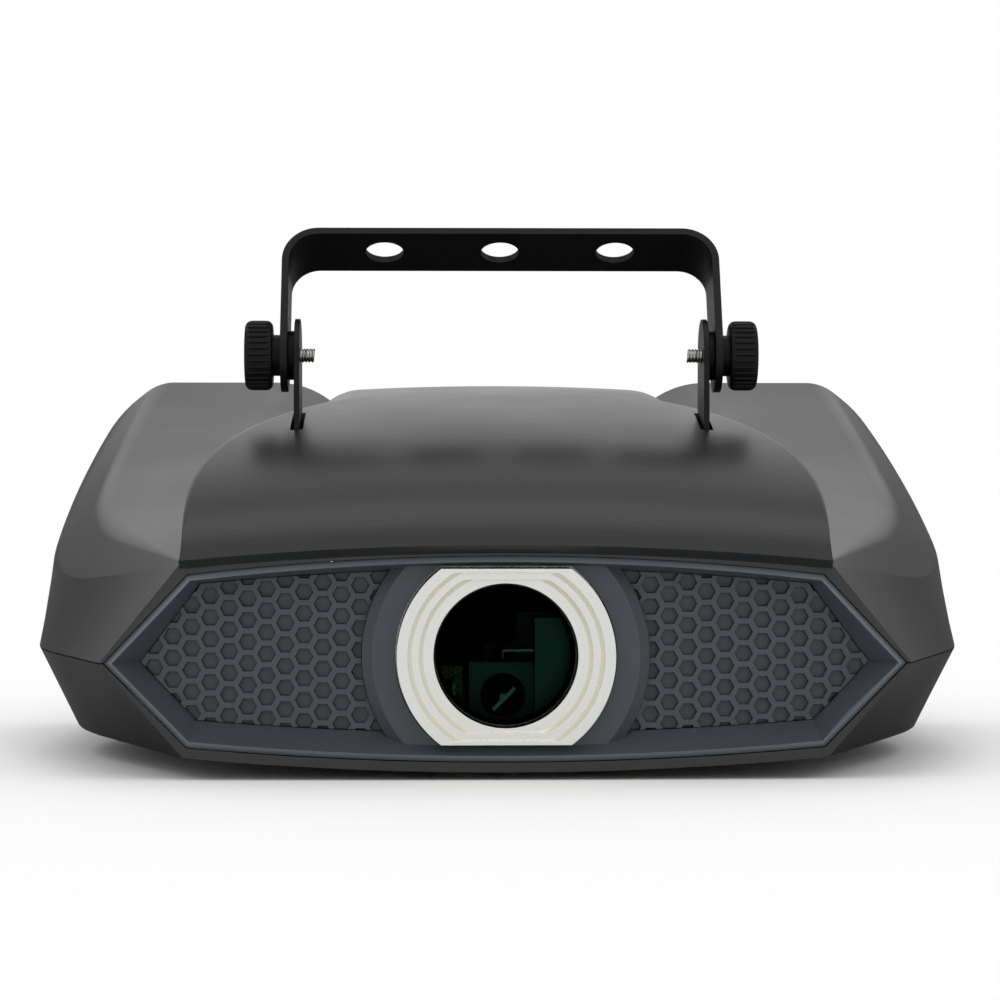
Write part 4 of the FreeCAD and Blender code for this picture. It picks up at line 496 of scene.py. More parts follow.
HOOD_ROUND, HOOD_ROUND_GROWTH = 1.2, 13.8
BROW_OVERHANG, BROW_EDGE, BROW_RISE, BROW_ROUND, LIP_RISE, LIP_DROP = 3.0, 0.8, 29.4, 0.4, 26.1, 2.5
FOOT_HALF, FOOT_SPREAD, FOOT_RISE = 83.2, 34.8, 20
FRAME_CORNERS = ((0, -26.8), (81.5, -23), (102.5, -1.6), (81.2, 20.9), (0, 25.7))
ARC_STEPS = 12
BOW_STEPS = 6


def between(depth, first, middle, last):
    """Value at a depth: straight runs to the widest place and on to the rear, joined by a long bend."""
    offset = depth - WAIST_DEPTH
    bend = abs(offset)
    if bend < WAIST_BEND:
        bend = (offset ** 2 + WAIST_BEND ** 2) / (2 * WAIST_BEND)
    before, after = (middle - first) / WAIST_DEPTH, (last - middle) / (BODY_DEPTH - WAIST_DEPTH)
    return middle + (before + after) / 2 * offset + (after - before) / 2 * bend


def corner_arc(before, corner, after, radius):
    """Points of the arc that rounds a corner of an outline that runs anticlockwise."""
    first, second = (corner - before).normalized(), (after - corner).normalized()
    turn = math.acos(min(first.dot(second), 1))
    start = corner - first * radius * math.tan(turn / 2)
    centre = start + Vector((-first.y, first.x)) * radius
    angles = [turn * step / ARC_STEPS for step in range(ARC_STEPS + 1)]
    arm = start - centre
    return [centre + Vector((arm.x * math.cos(a) - arm.y * math.sin(a), arm.x * math.sin(a) + arm.y * math.cos(a)))
            for a in angles]


def bowed(rise, end):
    """Points of a shallow bow from the middle line out to an end, without the end."""
    shares = [step / BOW_STEPS for step in range(BOW_STEPS)]
    return [Vector((end.x * share, rise + (end.y - rise) * share ** 2)) for share in shares]


def mirrored(points):
    return [Vector((-point.x, point.y)) for point in reversed(points) if point.x > 0]


def inwards(right, inset):
    """Corners of the right half, with every side of the outline moved inwards."""
    ring = right + mirrored(right)
    moved_ring = []
    for before, corner, after in zip(ring[-1:] + ring[:-1], ring, ring[1:] + ring[:1]):
        first, second = (corner - before).normalized(), (after - corner).normalized()
        both = first + second
        moved_ring.append(corner + Vector((-both.y, both.x)) * inset / (1 + first.dot(second)))
    return moved_ring[:len(right)]


def body_outline(depth, inset):
    """Right half of the housing's cross section, from the middle of the floor to the middle of the top."""
    share = max((depth - WAIST_DEPTH) / (BODY_DEPTH - WAIST_DEPTH), 0)
    swell = Vector((SIDE_BULGE * (1 - (2 * share - 1) ** 2), 0))
    trios = zip(FRONT_CORNERS, WIDEST_CORNERS, REAR_CORNERS)
    corners = [Vector([between(depth, *values) for values in zip(*trio)]) for trio in trios]
    corners = [Vector((0, FLOOR_RISE))] + [corner + swell for corner in corners[:4]] + corners[4:]
    floor, lower, waist, shoulder, cheek, lobe, trough = inwards(corners, inset)
    arcs = []
    for before, corner, after, rounds in ((waist, shoulder, cheek, SHOULDER_ROUNDS),
                                          (shoulder, cheek, lobe, CHEEK_ROUNDS), (cheek, lobe, trough, LOBE_ROUNDS)):
        arcs += corner_arc(before, corner, after, max(between(depth, *rounds) - inset, LEAST_ROUND))
    return bowed(floor.y, lower) + [lower, waist, *arcs, trough, Vector((0, trough.y))]


def hood_outline(depth, inset):
    """Right half of the hood's cross section, with the brow that hangs over the front."""
    turn = min(max(depth, 0) / HOOD_TURN, 1) ** HOOD_POWER
    left_over = 1 - min((depth + BROW_OVERHANG) / HOOD_REACH, 1)
    top = BROW_RISE + HOOD_RISE * math.sqrt(1 - left_over ** 2) - inset
    half = HOOD_HALF - HOOD_NARROWING * turn - inset
    corner = Vector((half, top - HOOD_CROWN * (half / HOOD_HALF) ** 2))
    if depth < BROW_EDGE:
        rise, radius = LIP_RISE - LIP_DROP * depth / BROW_OVERHANG, BROW_ROUND
        foot = Vector((FOOT_HALF, rise - HOOD_CROWN))
    else:
        rise, radius = FOOT_RISE, HOOD_ROUND + HOOD_ROUND_GROWTH * turn
        foot = Vector((FOOT_HALF + FOOT_SPREAD * turn - inset, rise))
    edge = corner_arc(foot, corner, Vector((0, top)), radius)
    return bowed(rise, foot) + [foot, *edge] + bowed(top, edge[-1])[::-1]


def frame_outline(depth, inset):
    """Right half of the front frame's outline, which is the same at each depth."""
    bottom, lower, tip, upper, top = inwards([Vector(corner) for corner in FRAME_CORNERS], inset)
    return bowed(bottom.y, lower) + [lower, tip, upper] + bowed(top.y, upper)[::-1]


print("points in an outline:", len(body_outline(0, 0)), len(hood_outline(0, 0)), len(frame_outline(0, 0)))

# %% [markdown]
# The skins are closed at both ends and then joined. The inside is the same form again, one wall thickness
# smaller, and it is cut out, with the seat of the front frame and the pocket of the rear panel, whose
# outline is read from the panel. What is left is split at the seam, with a fine groove between the halves.

# %% Shells
WALL, SEAM_RISE, SEAM_GROOVE, CREASE_DEGREES = 2.2, -1.6, 0.15, 14
BODY_DEPTHS = (*range(0, 108, 6), *range(108, 189, 10))
BROW_DEPTHS = (-3, -2.85, -2.6, -2.2, -1.7, -1.1, -0.4)
HOOD_DEPTHS = (0.8, 2, 3.5, 5.5, 8, 11, 14.5, 18.5, 23, 28, 33.5, 39, 45, 51, 57, 63, 69, 75, 81, 87, 91, HOOD_TURN,
               105, 118, 132, 148, 158, 166, 172, 188)
CAVITY, POCKET, POCKET_EASE = (3, 174.3), (174.1, 190), 1.001
SEAT, SEAT_PLAY, MOUTH, MOUTH_INSET = (-3.5, 3), 0.2, (1, 5.2), 1.5
ROOM_LOW, ROOM_HIGH = (-140, -10, -40), (140, 200, 90)


def housing_point(x, depth, rise):
    return Vector((x * MM, HOUSING_FRONT + depth * MM, AXIS_HEIGHT + rise * MM))


def finished_form(form):
    """Piece of a form, with all its faces turned outwards."""
    bmesh.ops.recalc_face_normals(form, faces=form.faces)
    return new_piece("form", as_mesh(form, "form"), SHELL_ABS)


def planked(rings):
    """Piece through rings of places, closed at both ends."""
    form = bmesh.new()
    rings = [[form.verts.new(place) for place in ring] for ring in rings]
    for near, far in zip(rings, rings[1:]):
        for index in range(len(near)):
            form.faces.new((near[index - 1], near[index], far[index], far[index - 1]))
    form.faces.new(rings[0])
    form.faces.new(rings[-1])
    return finished_form(form)


def skinned(outline, depths, inset=0.0):
    """Piece through the outlines at a list of depths."""
    rings = []
    for depth in depths:
        right = outline(depth, inset)
        rings.append([housing_point(point.x, depth, point.y) for point in right + mirrored(right)])
    return planked(rings)


def blocks(*boxes):
    """Piece of separate blocks, each given by its low and high x, depth and rise."""
    form = bmesh.new()
    for low, high in boxes:
        low, high = housing_point(*low), housing_point(*high)
        place = Matrix.Translation((low + high) / 2) @ Matrix.Diagonal((*(high - low), 1))
        bmesh.ops.create_cube(form, size=1.0, matrix=place)
    return finished_form(form)


def slits(places, half, depths, rises):
    """Narrow blocks side by side, each given by its x."""
    return blocks(*[((x - half, depths[0], rises[0]), (x + half, depths[1], rises[1])) for x in places])


def rods(radius, rises, half, depths):
    """Four upright rods, to the left and right at two depths."""
    low, high = rises
    form = bmesh.new()
    for x in (-half, half):
        for depth in depths:
            place = Matrix.Translation(housing_point(x, depth, (low + high) / 2))
            bmesh.ops.create_cone(form, cap_ends=True, segments=32, radius1=radius * MM, radius2=radius * MM,
                                  depth=(high - low) * MM, matrix=place)
    return finished_form(form)


def combined(piece, operation, *others):
    """Join other pieces to a piece, cut them from it or keep what they share; the others are used up."""
    for other in others:
        step = piece.modifiers.new(operation, "BOOLEAN")
        step.operation = operation
        step.solver = "EXACT"
        step.object = other
    settle(piece)
    for other in others:
        bpy.data.objects.remove(other)
    return piece


def panel_pocket(node, depths):
    """Piece with the outer outline of a flat panel, from one depth to another."""
    form = merged(frame["nodes"][node].data)
    back = max(vert.co.y for vert in form.verts) - WELD
    bmesh.ops.delete(form, geom=[face for face in form.faces if face.calc_center_median().y < back], context="FACES")
    start = max((vert for vert in form.verts if vert.is_boundary), key=lambda vert: vert.co.x)
    waiting = {edge for edge in form.edges if edge.is_boundary}
    loop = [start]
    while len(loop) == 1 or loop[-1] is not start:
        edge = next(edge for edge in loop[-1].link_edges if edge in waiting)
        waiting.remove(edge)
        loop.append(edge.other_vert(loop[-1]))
    outline = [vert.co.copy() for vert in loop[1:]]
    form.free()
    return planked([[(co.x * POCKET_EASE, HOUSING_FRONT + depth * MM, co.z) for co in outline] for depth in depths])


def within(depths, start, end):
    """The depths that lie between a start and an end, with both."""
    return [start] + [depth for depth in depths if start < depth < end] + [end]


shell = combined(skinned(body_outline, BODY_DEPTHS), "UNION", skinned(hood_outline, BROW_DEPTHS + HOOD_DEPTHS))
combined(shell, "DIFFERENCE", skinned(body_outline, within(BODY_DEPTHS, *CAVITY), WALL),
         skinned(hood_outline, within(HOOD_DEPTHS, *CAVITY), WALL), skinned(frame_outline, SEAT, -SEAT_PLAY),
         skinned(frame_outline, MOUTH, MOUTH_INSET), panel_pocket("rear_panel", POCKET))
halves = {"top_shell": ((*ROOM_LOW[:2], SEAM_RISE + SEAM_GROOVE), ROOM_HIGH),
          "bottom_shell": (ROOM_LOW, (*ROOM_HIGH[:2], SEAM_RISE - SEAM_GROOVE))}
for node, half in halves.items():
    piece = combined(new_piece(f"moulded_{node}", shell.data.copy()), "INTERSECT", blocks(half))
    if node == "top_shell":
        combined(piece, "DIFFERENCE", slits((-55.45, 55.45), half=1.75, depths=(45, 67), rises=(45, 90)))
    else:
        vents = slits(range(-24, 25, 6), half=1.2, depths=(106.9, 132.9), rises=(-40, -20))
        screw_wells = rods(radius=3.2, rises=(-40, -20.7), half=96, depths=(62, 148))
        combined(piece, "DIFFERENCE", vents, screw_wells)
        combined(piece, "UNION", rods(radius=8, rises=(-29.5, -25.1), half=60, depths=(62, 162)))
    stand_for(smoothed(cleaned(piece), CREASE_DEGREES), node)
bpy.data.objects.remove(shell)

# %% [markdown]
# ## Growing pieces by rule
# What repeats is made with Geometry Nodes: one tree holds the rule, its named inputs hold the sizes, and the
# same tree can serve several pieces. The helpers here build an empty tree with named inputs, and run a tree
# on a mesh and keep the result as plain mesh.

# %% Helpers for node trees


def new_tree(name, *sizes):
    """Geometry tree with an input for the mesh it starts from, a material and named sizes."""
    tree = bpy.data.node_groups.new(name, "GeometryNodeTree")
    tree.interface.new_socket("Geometry", in_out="OUTPUT", socket_type="NodeSocketGeometry")
    for name, kind in (("Geometry", "Geometry"), ("Material", "Material"), *[(size, "Float") for size in sizes]):
        tree.interface.new_socket(name, in_out="INPUT", socket_type=f"NodeSocket{kind}")
    return tree, tree.nodes.new("NodeGroupInput").outputs


def close_tree(tree, sizes, shape):
    """End a tree: realize the instances, set the material, send it out."""
    plain = add(tree, "GeometryNodeRealizeInstances", {"Geometry": shape})
    painted = add(tree, "GeometryNodeSetMaterial", {"Geometry": plain, "Material": sizes["Material"]})
    add(tree, "NodeGroupOutput", {"Geometry": painted})


def grown(name, tree, mesh, material, **sizes):
    """Piece that a tree makes from a mesh, as plain mesh; lengths are given in metres."""
    piece = new_piece(name, mesh)
    modifier = piece.modifiers.new("rule", "NODES")
    modifier.node_group = tree
    values = {"Material": material, **{key.replace("_", " "): value for key, value in sizes.items()}}
    for item in tree.interface.items_tree:
        if item.in_out == "INPUT" and item.name in values:
            modifier[item.identifier] = values[item.name]
    settle(piece)
    return piece


def moved(piece, matrix):
    """Put a piece in its place: the place goes into the mesh, and the object stays at the origin."""
    piece.data.transform(matrix)
    return piece


print("helpers ready")

# %% [markdown]
# ## Threaded studs
# A stud is a steel rod with a rolled thread, and its end shows between each tab and the hood. A thread could
# be faked with rings, but a helix is just as short to write: a spiral curve gets a four-sided profile, and
# a core fills it. The real thread has a pitch of 0.7 mm. It is drawn a little coarser, as the few crests that
# the picture shows.

# %% Studs
PITCH = 0.85 * MM
RIDGE_SHARE = 0.48
thread, sizes = new_tree("thread", "Radius", "Length", "Pitch")
turns = add(thread, "ShaderNodeMath", {0: sizes["Length"], 1: sizes["Pitch"]}, operation="DIVIDE")
ridge = add(thread, "ShaderNodeMath", {0: sizes["Pitch"], 1: RIDGE_SHARE}, operation="MULTIPLY")
core = add(thread, "ShaderNodeMath", {0: sizes["Radius"], 1: ridge}, operation="SUBTRACT")
helix = add(thread, "GeometryNodeCurveSpiral", {"Resolution": 20, "Rotations": turns, "Start Radius": core,
                                                "End Radius": core, "Height": sizes["Length"]})
profile = add(thread, "GeometryNodeCurvePrimitiveCircle", {"Resolution": 4, "Radius": ridge})
crest = add(thread, "GeometryNodeCurveToMesh", {"Curve": helix, "Profile Curve": profile, "Fill Caps": True})
rod = add(thread, "GeometryNodeMeshCylinder", {"Vertices": 20, "Radius": core, "Depth": sizes["Length"]})
middle = add(thread, "ShaderNodeMath", {0: sizes["Length"], 1: 0.5}, operation="MULTIPLY")
offset = add(thread, "ShaderNodeCombineXYZ", {"Z": middle})
raised = add(thread, "GeometryNodeTransform", {"Geometry": rod, "Translation": offset})
both = add(thread, "GeometryNodeJoinGeometry", {"Geometry": [crest, raised]})
close_tree(thread, sizes, both)


def along_x(node):
    """Matrix that puts a form drawn along Z from the origin along X over a node's box, and the box's length."""
    low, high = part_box(node)
    middle = (low + high) / 2
    outwards = 1 if middle.x > 0 else -1
    start = Vector((low.x if outwards > 0 else high.x, middle.y, middle.z))
    return Matrix.Translation(start) @ Matrix.Rotation(math.radians(90 * outwards), 4, "Y"), high.x - low.x


for side in ("left", "right"):
    node = f"clamp_stud_{side}"
    place, length = along_x(node)
    radius = (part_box(node)[1].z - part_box(node)[0].z) / 2
    stud = moved(grown(f"threaded_{node}", thread, bpy.data.meshes.new(node), ZINC_STEEL,
                       Radius=radius, Length=length, Pitch=PITCH), place)
    stand_for(stud, node)

# %% [markdown]
# ## Clamp knobs
# Each knob is moulded nylon with ribs to grip. The body is a turned form, so its half section is spun round
# the axis. The ribs repeat, so a tree lays one rounded bar along the rim and copies it to every point of a
# circle. A bar gets its rounded ends from a radius that falls off towards both ends of its line.

# %% Knobs
RIB_COUNT = 32
RIB_RADIUS, RIB_START, RIB_END, RIM_RADIUS = 0.55, 2.7, 9.3, 8.95
RIB_SWELL, END_POWER = 1.02, 6.0
KNOB_STEPS = 96
KNOB_SECTION = ((0, 0), (5.4, 0), (5.6, 0.2), (5.6, 2.3), (8.2, 2.3), (8.7, 2.5), (RIM_RADIUS, 3.0),
                (RIM_RADIUS, 9.0), (8.7, 9.5), (8.2, 9.7), (5.9, 9.7), (5.5, 9.5), (5.0, 8.3), (4.6, 8.2), (0, 8.2))
knurl, sizes = new_tree("ribbed rim", "Rim Radius", "Rib Radius", "Rib Start", "Rib End", "Rib Count")
circle = add(knurl, "GeometryNodeMeshCircle", {"Vertices": sizes["Rib Count"], "Radius": sizes["Rim Radius"]})
low_end = add(knurl, "ShaderNodeCombineXYZ", {"Z": sizes["Rib Start"]})
high_end = add(knurl, "ShaderNodeCombineXYZ", {"Z": sizes["Rib End"]})
line = add(knurl, "GeometryNodeCurvePrimitiveLine", {"Start": low_end, "End": high_end})
steps = add(knurl, "GeometryNodeResampleCurve", {"Curve": line, "Count": 11})
along = add(knurl, "GeometryNodeSplineParameter")
signed = add(knurl, "ShaderNodeMath", {0: along, 1: 2.0, 2: -1.0}, operation="MULTIPLY_ADD")
from_middle = add(knurl, "ShaderNodeMath", {0: signed}, operation="ABSOLUTE")
falling = add(knurl, "ShaderNodeMath", {0: from_middle, 1: END_POWER}, operation="POWER")
swell = add(knurl, "ShaderNodeMath", {0: RIB_SWELL, 1: falling}, operation="SUBTRACT")
profile = add(knurl, "GeometryNodeCurvePrimitiveCircle", {"Resolution": 10, "Radius": sizes["Rib Radius"]})
bar = add(knurl, "GeometryNodeCurveToMesh", {"Curve": steps, "Scale": swell, "Profile Curve": profile,
                                             "Fill Caps": True})
bars = add(knurl, "GeometryNodeInstanceOnPoints", {"Points": circle, "Instance": bar})
whole = add(knurl, "GeometryNodeJoinGeometry", {"Geometry": [bars, sizes["Geometry"]]})
close_tree(knurl, sizes, whole)


def lathed(name, section_mm, steps):
    """Mesh of a half section of (radius, height) points spun round Z."""
    form = bmesh.new()
    points = [form.verts.new((radius * MM, 0, height * MM)) for radius, height in section_mm]
    edges = [form.edges.new(pair) for pair in zip(points, points[1:])]
    bmesh.ops.spin(form, geom=points + edges, axis=(0, 0, 1), angle=math.tau, steps=steps)
    bmesh.ops.remove_doubles(form, verts=form.verts, dist=WELD)
    bmesh.ops.recalc_face_normals(form, faces=form.faces)
    return as_mesh(form, name)


for side in ("left", "right"):
    node = f"clamp_knob_{side}"
    place = along_x(node)[0]
    knob = grown(f"ribbed_{node}", knurl, lathed(node, KNOB_SECTION, KNOB_STEPS), BLACK_NYLON,
                 Rim_Radius=RIM_RADIUS * MM, Rib_Radius=RIB_RADIUS * MM, Rib_Start=RIB_START * MM,
                 Rib_End=RIB_END * MM, Rib_Count=RIB_COUNT)
    stand_for(smoothed(moved(knob, place)), node)

# %% [markdown]
# ## Honeycomb inserts
# The grille is the eye-catcher of the front: blind six-sided pits with thin ridges, in columns that step by
# half a cell, and in rows that slope a little down to the window. The pits at the border are cut off
# by a plain margin. A picture of a honeycomb in a bump map would look flat from the side, and placing each
# pit by hand would be long, so a tree follows the rule. It numbers points into columns and rows, puts a
# tapered six-sided plug on each, trims the plugs to the margin and cuts them from the plate. The plate's
# outline is read from the flat back of the CAD piece. It is split along the columns and rows, so that no
# face has to run round a whole pit. The rule's arithmetic is a table: each row names a step, its operation and
# what goes into it.

# %% Honeycomb
CELL_PITCH, CELL_WALL, CELL_DEPTH, CELL_SHIFT, MARGIN = 5.56 * MM, 1.15 * MM, 1.9 * MM, 1.1 * MM, 1.3 * MM
LATTICE_DROP, LATTICE_SLOPE = 7 * MM, 0.0746
FIRST_COLUMN, COLUMNS, ROWS = 4, 16, 13
PLUG_TIP_SHARE, PLUG_MOUTH_SHARE = 0.8, 1.1
COLUMN_SHARE = math.sqrt(3) / 2
comb, sizes = new_tree("honeycomb", "Side", "Pitch", "Wall", "Pit Depth", "Thickness", "Shift", "Drop", "Slope",
                       "Front", "Axis Height", "First Column", "Columns", "Rows")
known = {**dict(sizes.items()), "Index": add(comb, "GeometryNodeInputIndex")}
for name, operation, *inputs in (
        ("count", "MULTIPLY", "Columns", "Rows"),
        ("share", "DIVIDE", "Index", "Rows"),
        ("step", "FLOOR", "share"),
        ("column", "ADD", "step", "First Column"),
        ("row", "MODULO", "Index", "Rows"),
        ("half rows", "MULTIPLY_ADD", "Rows", 0.5, -0.5),
        ("level", "SUBTRACT", "row", "half rows"),
        ("odd", "MODULO", "column", 2.0),
        ("stagger", "MULTIPLY_ADD", "odd", 0.5, "level"),
        ("column pitch", "MULTIPLY", "Pitch", COLUMN_SHARE),
        ("distance", "MULTIPLY", "column", "column pitch"),
        ("across", "SUBTRACT", "distance", "Shift"),
        ("slope", "MULTIPLY_ADD", "across", "Slope", "Axis Height"),
        ("base", "SUBTRACT", "slope", "Drop"),
        ("height", "MULTIPLY_ADD", "stagger", "Pitch", "base"),
        ("sideways", "MULTIPLY", "across", "Side"),
        ("opening", "SUBTRACT", "Pitch", "Wall"),
        ("mouth", "DIVIDE", "opening", math.sqrt(3)),
        ("tip", "MULTIPLY", "mouth", PLUG_TIP_SHARE),
        ("wide end", "MULTIPLY", "mouth", PLUG_MOUTH_SHARE),
        ("plug length", "MULTIPLY", "Thickness", 2.0),
        ("plug middle", "MULTIPLY", "Thickness", -1.0),
        ("floor depth", "SUBTRACT", "Pit Depth", "Thickness")):
    terms = {place: known.get(term, term) for place, term in enumerate(inputs)}
    known[name] = add(comb, "ShaderNodeMath", terms, operation=operation)
spot = add(comb, "ShaderNodeCombineXYZ", {"X": known["sideways"], "Y": known["Front"], "Z": known["height"]})
lattice = add(comb, "GeometryNodePoints", {"Count": known["count"], "Position": spot})
plug = add(comb, "GeometryNodeMeshCone", {"Vertices": 6, "Radius Top": known["tip"],
                                          "Radius Bottom": known["wide end"], "Depth": known["plug length"]})
centred = add(comb, "ShaderNodeCombineXYZ", {"Z": known["plug middle"]})
plug_place = add(comb, "GeometryNodeTransform", {"Geometry": plug, "Translation": centred})
plugs = add(comb, "GeometryNodeInstanceOnPoints", {"Points": lattice, "Instance": plug_place,
                                                   "Rotation": (math.radians(-90), 0, 0)})
plugs = add(comb, "GeometryNodeRealizeInstances", {"Geometry": plugs})
flag = add(comb, "GeometryNodeInputNamedAttribute", {"Name": "inside_margin"}, data_type="BOOLEAN")
middle = add(comb, "GeometryNodeSeparateGeometry", {"Geometry": sizes["Geometry"], "Selection": flag},
             domain="FACE")
forward = add(comb, "ShaderNodeCombineXYZ", {"Y": known["floor depth"]})
pit_floor = add(comb, "GeometryNodeTransform", {"Geometry": middle, "Translation": forward})
plates = []
for face in (sizes["Geometry"], pit_floor):
    back = add(comb, "GeometryNodeFlipFaces", {"Mesh": face})
    front = add(comb, "GeometryNodeExtrudeMesh", {"Mesh": face, "Offset": (0, -1, 0), "Individual": False,
                                                  "Offset Scale": sizes["Thickness"]})
    closed = add(comb, "GeometryNodeJoinGeometry", {"Geometry": [front, back]})
    plates.append(add(comb, "GeometryNodeMergeByDistance", {"Geometry": closed, "Distance": WELD}))
slab, room = plates
pits = add(comb, "GeometryNodeMeshBoolean", {"Mesh 2": [room, plugs]}, operation="INTERSECT", solver="EXACT")
pitted = add(comb, "GeometryNodeMeshBoolean", {"Mesh 1": slab, "Mesh 2": pits}, operation="DIFFERENCE",
             solver="EXACT")
close_tree(comb, sizes, pitted)


def flat_back(node, margin, cuts):
    """The back of a plate as a mesh of its own, with a margin all round, the middle marked, split by planes."""
    outline = welded(node, JOIN_DEGREES)
    back = max(outline.polygons, key=lambda face: face.center.y)
    form = bmesh.new()
    face = form.faces.new([form.verts.new(outline.vertices[index].co) for index in back.vertices])
    face.normal_update()
    if face.normal.y > 0:
        face.normal_flip()
    bmesh.ops.dissolve_limit(form, angle_limit=math.radians(0.1), verts=form.verts, edges=form.edges)
    form.faces.ensure_lookup_table()
    inside = form.faces.layers.bool.new("inside_margin")
    bmesh.ops.inset_region(form, faces=form.faces[:], thickness=margin, use_even_offset=True)
    max(form.faces, key=lambda face: face.calc_area())[inside] = True
    for place, normal in cuts:
        bmesh.ops.bisect_plane(form, geom=form.verts[:] + form.edges[:] + form.faces[:], dist=WELD / 10,
                               plane_co=place, plane_no=normal)
    return as_mesh(form, node)


for side_name, side in (("left", -1.0), ("right", 1.0)):
    node = f"honeycomb_{side_name}"
    low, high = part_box(node)
    cuts = [((side * ((FIRST_COLUMN + step) * CELL_PITCH * COLUMN_SHARE - CELL_SHIFT), 0, 0), (1, 0, 0))
            for step in range(COLUMNS)]
    cuts += [((0, 0, AXIS_HEIGHT - LATTICE_DROP + step * CELL_PITCH / 2), (-side * LATTICE_SLOPE, 0, 1))
             for step in range(-ROWS, ROWS)]
    insert = grown(f"grown_{node}", comb, flat_back(node, MARGIN, cuts), SLATE_ABS, Side=side, Pitch=CELL_PITCH,
                   Wall=CELL_WALL, Pit_Depth=CELL_DEPTH, Thickness=high.y - low.y, Shift=CELL_SHIFT,
                   Drop=LATTICE_DROP, Slope=LATTICE_SLOPE, Front=low.y, Axis_Height=AXIS_HEIGHT,
                   First_Column=FIRST_COLUMN, Columns=COLUMNS, Rows=ROWS)
    stand_for(smoothed(cleaned(insert), SHARP_DEGREES), node)

# %% [markdown]
# ## Fan guard
# A finger guard is bent and welded from steel wire. On the CAD piece the wires are square. Here a tree draws
# each ring as a circle, crosses them with two bars, and sweeps a round profile along all of them.

# %% Fan guard
GUARD_RINGS = 4
RING_SPACING = 5.2 * MM
WIRE_RADIUS = 0.65 * MM
guard, sizes = new_tree("wire guard", "Outer Radius", "Spacing", "Wire Radius", "Rings")
index = add(guard, "GeometryNodeInputIndex")
shrink = add(guard, "ShaderNodeMath", {0: index, 1: sizes["Spacing"]}, operation="MULTIPLY")
girth = add(guard, "ShaderNodeMath", {0: sizes["Outer Radius"], 1: shrink}, operation="SUBTRACT")
spots = add(guard, "GeometryNodePoints", {"Count": sizes["Rings"]})
unit_ring = add(guard, "GeometryNodeCurvePrimitiveCircle", {"Resolution": 64, "Radius": 1.0})
rings = add(guard, "GeometryNodeInstanceOnPoints", {"Points": spots, "Instance": unit_ring, "Scale": girth})
rings = add(guard, "GeometryNodeRealizeInstances", {"Geometry": rings})
minus = add(guard, "ShaderNodeMath", {0: sizes["Outer Radius"], 1: -1.0}, operation="MULTIPLY")
wires = [rings]
for axis in "XY":
    start, end = [add(guard, "ShaderNodeCombineXYZ", {axis: reach}) for reach in (minus, sizes["Outer Radius"])]
    wires.append(add(guard, "GeometryNodeCurvePrimitiveLine", {"Start": start, "End": end}))
wires = add(guard, "GeometryNodeJoinGeometry", {"Geometry": wires})
profile = add(guard, "GeometryNodeCurvePrimitiveCircle", {"Resolution": 10, "Radius": sizes["Wire Radius"]})
swept = add(guard, "GeometryNodeCurveToMesh", {"Curve": wires, "Profile Curve": profile, "Fill Caps": True})
close_tree(guard, sizes, swept)

guard_low, guard_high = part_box("fan_guard")
guard_middle = (guard_low + guard_high) / 2
facing_back = Matrix.Translation(guard_middle) @ Matrix.Rotation(math.radians(-90), 4, "X")
wire_guard = grown("wire_fan_guard", guard, bpy.data.meshes.new("fan_guard"), OXIDE_STEEL,
                   Outer_Radius=(guard_high.x - guard_low.x) / 2 - WIRE_RADIUS, Spacing=RING_SPACING,
                   Wire_Radius=WIRE_RADIUS, Rings=GUARD_RINGS)
stand_for(smoothed(moved(wire_guard, facing_back)), "fan_guard")

# %% [markdown]
# ## Screws
# The rear panel and the case are held by pan head screws with a cross recess. One tree makes a screw, a dome
# cut from a ball with a cross sunk into it and a shank below, and sets it on every point that it is given.
# The points are the tops of the heads, found from the separate lumps of the CAD piece.

# %% Screws
HEAD_HEIGHT, RECESS_WIDTH = 1.6 * MM, 0.8 * MM
BALL_SHARE, RECESS_SHARE, DOME_DEGREES = 1.5, 1.15, 25
driven, sizes = new_tree("pan head screw", "Head Radius", "Head Height", "Shank Radius", "Shank Length", "Turn",
                         "Recess Width")
ball_radius = add(driven, "ShaderNodeMath", {0: sizes["Head Radius"], 1: BALL_SHARE}, operation="MULTIPLY")
ball = add(driven, "GeometryNodeMeshUVSphere", {"Segments": 32, "Rings": 24, "Radius": ball_radius})
below = add(driven, "ShaderNodeMath", {0: ball_radius, 1: -1.0}, operation="MULTIPLY")
sunk = add(driven, "ShaderNodeCombineXYZ", {"Z": below})
ball = add(driven, "GeometryNodeTransform", {"Geometry": ball, "Translation": sunk})
double = add(driven, "ShaderNodeMath", {0: sizes["Head Height"], 1: 2.0}, operation="MULTIPLY")
drum = add(driven, "GeometryNodeMeshCylinder", {"Vertices": 32, "Radius": sizes["Head Radius"], "Depth": double})
head = add(driven, "GeometryNodeMeshBoolean", {"Mesh 2": [ball, drum]}, operation="INTERSECT", solver="EXACT")
arm = add(driven, "ShaderNodeMath", {0: sizes["Head Radius"], 1: RECESS_SHARE}, operation="MULTIPLY")
for first, second in (("X", "Y"), ("Y", "X")):
    size = add(driven, "ShaderNodeCombineXYZ", {first: arm, second: sizes["Recess Width"],
                                                "Z": sizes["Head Height"]})
    blade = add(driven, "GeometryNodeMeshCube", {"Size": size})
    head = add(driven, "GeometryNodeMeshBoolean", {"Mesh 1": head, "Mesh 2": blade}, operation="DIFFERENCE",
               solver="EXACT")
shank = add(driven, "GeometryNodeMeshCylinder", {"Vertices": 16, "Radius": sizes["Shank Radius"],
                                                 "Depth": sizes["Shank Length"]})
half_shank = add(driven, "ShaderNodeMath", {0: sizes["Shank Length"], 1: -0.5}, operation="MULTIPLY")
shank_middle = add(driven, "ShaderNodeMath", {0: half_shank, 1: sizes["Head Height"]}, operation="SUBTRACT")
lowered = add(driven, "ShaderNodeCombineXYZ", {"Z": shank_middle})
